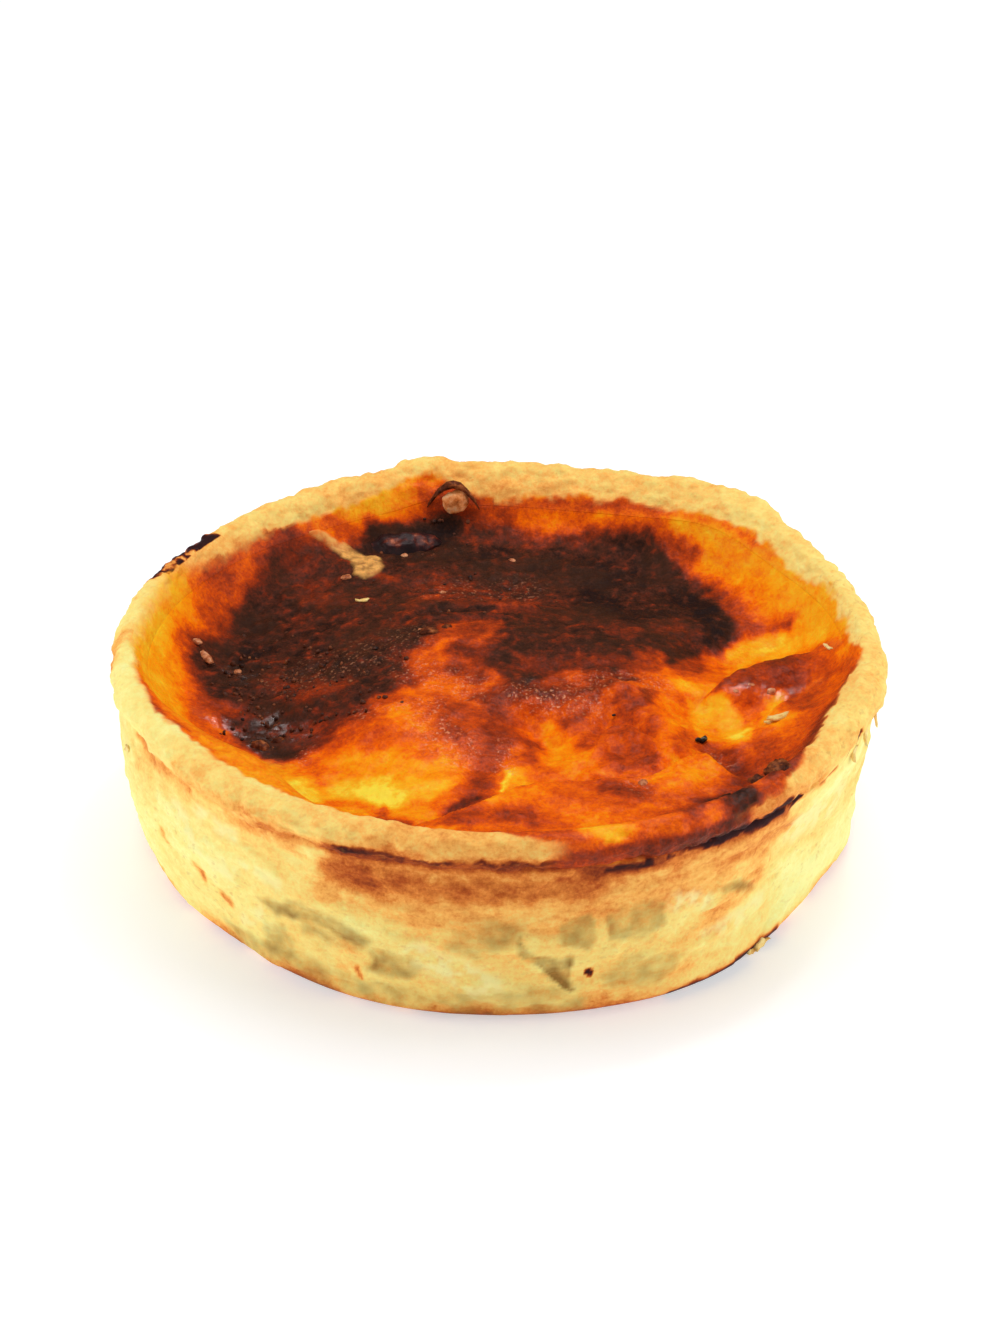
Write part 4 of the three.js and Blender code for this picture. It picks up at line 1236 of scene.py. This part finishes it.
def wallPoint(rings, angle, height):
    # a point on the outside of the case's wall
    step = round(angle / 360 * pastryCase["angularSteps"]) % pastryCase["angularSteps"]
    outside = [(h[step], r[step]) for r, h, region in rings if region in (1, 2)]
    outside = outside[:int(np.argmax([h for h, _ in outside])) + 1]
    radius = np.interp(height, [h for h, _ in outside], [r for _, r in outside]) + flakeLift["wall"]
    turn = math.radians(angle)
    return np.array([radius * math.cos(turn), radius * math.sin(turn), height])


def buildFlakes():
    parts = []
    for seed, (x, y, size, turn, tilt) in enumerate(skinFlakes.values(), 30):
        points, faces = flake(size, seed)
        parts.append((turned(points, turn, tilt) + onSkin(x, y, -flakeLift["skin"]), faces))
    _, rings = caseSections()
    for seed, (angle, height, size, slant) in enumerate(wallFlakes.values(), 50):
        points, faces = flake(size, seed, curl=1.2)
        # stood up against the wall, with its face outwards
        points = turned(turned(turned(points, slant), tilt=90), angle + 90)
        parts.append((points + wallPoint(rings, angle, height), faces))
    return joined("pastry_flakes", parts)


def perSize(sizeMm):
    # the scale of a pattern whose lumps are this many millimetres apart
    return 1 / (sizeMm * mm)


def newMaterial(name):
    material = bpy.data.materials.new(name)
    material.use_nodes = True
    tree = material.node_tree
    tree.nodes.clear()
    return material, tree


# From raw egg through orange and red brown to black
eggColours = [(0.0, "#ffe445"), (0.12, "#fdbd22"), (0.26, "#ff9a0c"), (0.40, "#f66a04"), (0.52, "#cf4a0e"),
              (0.62, "#a33812"), (0.72, "#782a13"), (0.82, "#4f2416"), (0.92, "#33190f"), (1.0, "#231310")]

# Pattern sizes are mm between lumps, amounts are how far each pattern shifts the
# baking or the tone, and depths are how high it stands in mm. A real crumb is
# nearer 0.2 mm; here it is coarse enough to show.
crustLook = {
    "blotch": {"size": 3.6, "detail": 6.0, "amount": 0.26, "depth": 0.5},
    "layer": {"size": 1.2, "detail": 4.0, "amount": 0.24, "depth": 0.25},
    "crumb": {"size": 0.5, "detail": 3.0, "amount": 0.24, "depth": 0.12},
}
skinLook = {
    "blotch": {"size": 3.2, "detail": 6.0, "amount": 0.34, "depth": 0.5},
    "pucker": {"size": 1.2, "detail": 4.0, "amount": 0.28, "depth": 0.25},
    "pore": {"size": 0.45, "detail": 3.0, "amount": 0.26, "depth": 0.1},
}
bumpStrength = 0.5
crustGrain = 0.65
skinGrain = 0.62
crustShader = {"IOR": 1.4, "Specular IOR Level": 0.15, "Subsurface Weight": 0.12,
               "Subsurface Radius": (1.0, 0.5, 0.2), "Subsurface Scale": 2.0 * mm}
crustColours = [(0.0, "#fdf7a4"), (0.15, "#fbea8e"), (0.30, "#fcd676"), (0.42, "#fdb85c"), (0.55, "#e5883a"),
                (0.68, "#bb5820"), (0.80, "#873617"), (0.90, "#572317"), (1.0, "#30171a")]
freckleLook = {"size": 1.1, "detail": 3.0, "range": {"From Min": 0.58, "From Max": 0.70}}
crustRoughness = {"To Min": 0.72, "To Max": 0.40}       # of dry pastry and of egg
crustTints = {"khaki": "#966e32", "pale": "#fbf0a6", "freckle": "#d08a44", "char": "#2e1214"}


def layPatterns(tree, value, look, places, grain):
    # shifts a painted value by each pattern of a look, and gives the patterns too
    patterns = {}
    for place, (name, row) in zip(places, look.items()):
        pattern = addNode(tree, "TexNoise", {
            "Vector": place, "Scale": perSize(row["size"]), "Detail": row["detail"], "Roughness": grain})
        centred = addNode(tree, "Math", {0: pattern, 1: 0.5}, operation="SUBTRACT")
        value = addNode(tree, "Math", {0: centred, 1: row["amount"], 2: value},
                        operation="MULTIPLY_ADD")
        patterns[name] = pattern
    return value, patterns


def relief(tree, look, patterns):
    # the normal of a look's patterns, one standing on another
    inputs = {}
    for name, row in look.items():
        inputs |= {"Height": patterns[name], "Strength": bumpStrength, "Distance": row["depth"] * mm}
        inputs["Normal"] = addNode(tree, "Bump", inputs)
    return inputs["Normal"]


def bakedShortcrust():
    # Shortcrust pastry, rolled and baked: a matt, dry, layered and slightly flaky face,
    # pale where the tin shaded it and gold to brown on the lip.
    material, tree = newMaterial("baked shortcrust")
    place = addNode(tree, "TexCoord").outputs["Object"]
    layered = addNode(tree, "Mapping", {"Vector": place, "Scale": (1, 1, 1.5)})
    painted = {name: addNode(tree, "Attribute", attribute_name=name).outputs["Fac"]
               for name in ("bake", "tone", "khaki", "pale", "freckle", "egg", "char")}
    bake, patterns = layPatterns(tree, painted["bake"], crustLook, (layered, layered, place), crustGrain)
    # the same unevenness as the custard has
    tone, _ = layPatterns(tree, painted["tone"], skinLook, (place, place, place), skinGrain)
    dots = addNode(tree, "TexNoise", {
        "Vector": layered, "Scale": perSize(freckleLook["size"]), "Detail": freckleLook["detail"]})
    dots = addNode(tree, "MapRange", {"Value": dots, **freckleLook["range"]})
    dots = addNode(tree, "Math", {0: dots, 1: painted["freckle"]}, operation="MULTIPLY")
    colour = addNode(tree, "ValToRGB", {"Fac": bake}, stops=crustColours)
    egg = addNode(tree, "ValToRGB", {"Fac": tone}, stops=eggColours)
    tints = {name: linear(colourCode) for name, colourCode in crustTints.items()}
    for cover, over in ((painted["khaki"], tints["khaki"]), (painted["pale"], tints["pale"]),
                        (dots, tints["freckle"]), (painted["egg"], egg), (painted["char"], tints["char"])):
        colour = addNode(tree, "Mix", {0: cover, 6: colour, 7: over}, data_type="RGBA").outputs[2]
    rough = addNode(tree, "MapRange", {"Value": painted["egg"], **crustRoughness})
    shader = addNode(tree, "BsdfPrincipled", {
        "Base Color": colour, **crustShader, "Roughness": rough,
        "Normal": relief(tree, crustLook, patterns)})
    addNode(tree, "OutputMaterial", {"Surface": shader})
    return material


skinShader = {"IOR": 1.4, "Specular IOR Level": 0.08, "Coat Roughness": 0.07,
              "Subsurface Weight": 0.10, "Subsurface Radius": (1.0, 0.35, 0.1), "Subsurface Scale": 1.5 * mm}
skinRoughness = {"From Min": 0.3, "From Max": 0.7, "To Min": 0.22, "To Max": 0.44}
drierCrust = 0.28           # how much rougher the scorched crust is
greasyBlisters = 0.22       # how much coat the blisters have
blisterLook = {"size": 0.6, "detail": 2.0, "depth": 0.25}
# the blister tint is a painted highlight, the pinkish white of glints on the blisters; olive and torn are
# the skin's own colours
skinTints = {"olive": "#3f2315", "blister": "#ee9f74", "torn": "#ecac5c"}


def brownedCustard():
    # Egg and cream custard, browned under a top heat: a thin elastic skin, half
    # glossy, from egg yellow through orange to a near black scorch.
    material, tree = newMaterial("browned egg custard")
    place = addNode(tree, "TexCoord").outputs["Object"]
    painted = {name: addNode(tree, "Attribute", attribute_name=name).outputs["Fac"]
               for name in ("tone", "crust", "blister", "wet", "torn")}
    tone, patterns = layPatterns(tree, painted["tone"], skinLook, (place, place, place), skinGrain)
    colour = addNode(tree, "ValToRGB", {"Fac": tone}, stops=eggColours)
    # the scorch turns from red brown to olive brown in places
    olive = addNode(tree, "TexNoise", {
        "Vector": place, "Scale": perSize(7.0), "Detail": 3.0})
    # painted highlights: pinkish white dots on the fine blisters, standing in for their glints
    paintedGlints = addNode(tree, "TexNoise", {
        "Vector": place, "Scale": perSize(0.5), "Detail": 1.0})
    # each shows where its pattern is high and its painted field allows it
    for tint, pattern, low, high, least, most, field in (
            ("olive", olive, 0.42, 0.62, 0.0, 0.6, "crust"),
            ("blister", paintedGlints, 0.60, 0.73, 0.0, 0.8, "blister"),
            ("torn", patterns["pucker"], 0.35, 0.6, 0.4, 1.0, "torn")):
        cover = addNode(tree, "MapRange", {
            "Value": pattern, "From Min": low, "From Max": high, "To Min": least, "To Max": most})
        cover = addNode(tree, "Math", {0: cover, 1: painted[field]}, operation="MULTIPLY")
        colour = addNode(tree, "Mix", {0: cover, 6: colour, 7: linear(skinTints[tint])},
                         data_type="RGBA").outputs[2]
    rough = addNode(tree, "MapRange", {"Value": patterns["pore"], **skinRoughness})
    rough = addNode(tree, "Math", {0: painted["crust"], 1: drierCrust, 2: rough}, operation="MULTIPLY_ADD")
    # the blisters stand up and are greasy, so that they glint
    greasy = addNode(tree, "Math", {0: painted["blister"], 1: greasyBlisters, 2: painted["wet"]},
                     operation="MULTIPLY_ADD", use_clamp=True)
    fine = addNode(tree, "TexNoise", {
        "Vector": place, "Scale": perSize(blisterLook["size"]), "Detail": blisterLook["detail"]})
    normal = addNode(tree, "Bump", {
        "Height": fine, "Strength": painted["blister"], "Distance": blisterLook["depth"] * mm,
        "Normal": relief(tree, skinLook, patterns)})
    shader = addNode(tree, "BsdfPrincipled", {
        "Base Color": colour, **skinShader, "Roughness": rough, "Coat Weight": greasy, "Normal": normal,
        "Coat Normal": normal})
    addNode(tree, "OutputMaterial", {"Surface": shader})
    return material


# What the smaller things are made of: how far apart the colours lie in mm, the
# colours, and the shader's own settings
smallFinishes = {
    "fried bacon": {            # rendered and baked: nearly black, greasy, with paler fat
        "size": 2.4, "stops": [(0.32, "#150809"), (0.50, "#2c1011"), (0.60, "#5c2216"), (0.72, "#b4603c")],
        "shader": {"Roughness": 0.45, "IOR": 1.45, "Specular IOR Level": 0.22}, "bump": 0.2},
    "fried bacon lean": {       # the leaner piece keeps a reddish brown
        "size": 2.0, "stops": [(0.30, "#8a3a16"), (0.42, "#cc7234"), (0.52, "#f2a062"), (0.64, "#fcc690")],
        "shader": {"Roughness": 0.5, "IOR": 1.45, "Specular IOR Level": 0.1}, "bump": 0.2},
    "browned skin": {           # skin puffed up and baked dark, dull with a few shiny spots
        "size": 1.2, "stops": [(0.34, "#2c130a"), (0.50, "#5e2c18"), (0.62, "#965028"), (0.74, "#b87448")],
        "shader": {"Roughness": 0.42, "IOR": 1.4, "Specular IOR Level": 0.08}, "bump": 0.15},
    "toasted fat and glints": {            # small lumps of fat, toasted to a pinkish tan, and pale bits standing in for glints: painted highlights
        "size": 0.9, "stops": [(0.34, "#8e4626"), (0.52, "#cc7e52"), (0.70, "#f0bc90")],
        "shader": {"Roughness": 0.35, "IOR": 1.45, "Specular IOR Level": 0.2}, "bump": 0.1},
    "scorched crumb": {         # dry crumbs of the scorched skin
        "size": 1.6, "stops": [(0.36, "#24120d"), (0.52, "#5a2c18"), (0.64, "#8c4a26"), (0.74, "#b87c4e")],
        "shader": {"Roughness": 0.55, "IOR": 1.4, "Specular IOR Level": 0.3}, "bump": 0.08},
    "black pepper": {           # cracked peppercorn, nearly black with a grey broken face
        "size": 0.6, "stops": [(0.40, "#120f0c"), (0.58, "#2e2a22"), (0.68, "#8e8874")],
        "shader": {"Roughness": 0.6, "IOR": 1.45, "Specular IOR Level": 0.3}, "bump": 0.08},
    "pastry flake": {           # thin sheets of the crust that have come loose
        "size": 1.4, "stops": [(0.30, "#e0a04c"), (0.48, "#f2cd7a"), (0.66, "#f8e4a0")],
        "shader": {"Roughness": 0.7, "IOR": 1.4, "Specular IOR Level": 0.3}, "bump": 0.1},
}


def smallFinish(name):
    # a mottled colour and a fine bump, both worked out from one real size
    row = smallFinishes[name]
    material, tree = newMaterial(name)
    place = addNode(tree, "TexCoord").outputs["Object"]
    mottle = addNode(tree, "TexNoise", {
        "Vector": place, "Scale": perSize(row["size"]), "Detail": 5.0, "Roughness": 0.62})
    fine = addNode(tree, "TexNoise", {
        "Vector": place, "Scale": perSize(row["size"] / 4), "Detail": 3.0})
    colour = addNode(tree, "ValToRGB", {"Fac": mottle}, stops=row["stops"])
    broad = addNode(tree, "Bump", {
        "Height": mottle, "Strength": 0.6, "Distance": row["bump"] * mm})
    bump = addNode(tree, "Bump", {
        "Height": fine, "Strength": 0.5, "Distance": row["bump"] / 3 * mm, "Normal": broad})
    shader = addNode(tree, "BsdfPrincipled", {
        "Base Color": colour, "Normal": bump, **row["shader"]})
    addNode(tree, "OutputMaterial", {"Surface": shader})
    return material


def attach(piece, material, replaced=None):
    piece.data.materials.append(material)
    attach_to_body(piece, "root")
    if replaced:
        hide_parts(replaced)
    report(piece.name)


attach(buildCase(), bakedShortcrust(), "pastry_case")
attach(buildCustard(), brownedCustard(), "egg_custard")
attach(buildBacon("bacon_back_left"), smallFinish("fried bacon"), "bacon_back_left")
attach(buildBacon("bacon_back"), smallFinish("fried bacon lean"), "bacon_back")
attach(bitsPiece("browned_bits", brownedBits), smallFinish("browned skin"))
attach(bitsPiece("toasted_and_glint_bits", toastedAndGlintBits), smallFinish("toasted fat and glints"))
attach(buildCrumbs(), smallFinish("scorched crumb"))
attach(bitsPiece("cracked_pepper", pepper), smallFinish("black pepper"))
attach(buildFlakes(), smallFinish("pastry flake"))

# Soft lights round the table, each with its width, place in mm and watts
studio = {
    "floorSize": 6000,
    "floorColour": "#d4d6da",
    "floorGlow": 0.46,
    "world": 0.10,
    "lights": {
        "overhead": {"size": 500, "at": (30, 200, 740), "power": 3.3},
        "key": {"size": 70, "at": (200, 300, 850), "power": 0.8},
        "leftSide": {"size": 500, "at": (-650, -60, 240), "power": 2.35},
        "rightSide": {"size": 500, "at": (650, -60, 240), "power": 2.3},
        "front": {"size": 400, "at": (-60, -700, 260), "power": 1.05},
    },
}


def buildStudio():
    half = studio["floorSize"] / 2
    floor = makePiece("table_top", [(-half, -half, 0), (half, -half, 0), (half, half, 0), (-half, half, 0)],
                      [(0, 1, 2, 3)], smoothShaded=False)
    material, tree = newMaterial("white table top")
    shader = addNode(tree, "BsdfPrincipled", {
        "Base Color": linear(studio["floorColour"]), "Roughness": 0.9, "Specular IOR Level": 0.1,
        "Emission Color": (1, 1, 1, 1), "Emission Strength": studio["floorGlow"]})
    addNode(tree, "OutputMaterial", {"Surface": shader})
    floor.data.materials.append(material)
    world = bpy.data.worlds.new("soft room light")
    world.use_nodes = True
    background = world.node_tree.nodes["Background"]
    background.inputs["Color"].default_value = (1, 1, 1, 1)
    background.inputs["Strength"].default_value = studio["world"]
    bpy.context.scene.world = world
    for name, row in studio["lights"].items():
        data = bpy.data.lights.new(name, "AREA")
        data.size = row["size"] * mm
        data.energy = row["power"]
        lamp = bpy.data.objects.new(name, data)
        lamp.location = np.array(row["at"]) * mm
        away = -np.array(row["at"]) / np.linalg.norm(row["at"])
        lamp.rotation_euler = (math.acos(-away[2]), 0, math.atan2(-away[0], away[1]))
        bpy.context.scene.collection.objects.link(lamp)


buildStudio()
bpy.context.scene.view_settings.view_transform = "Standard"
report("studio")
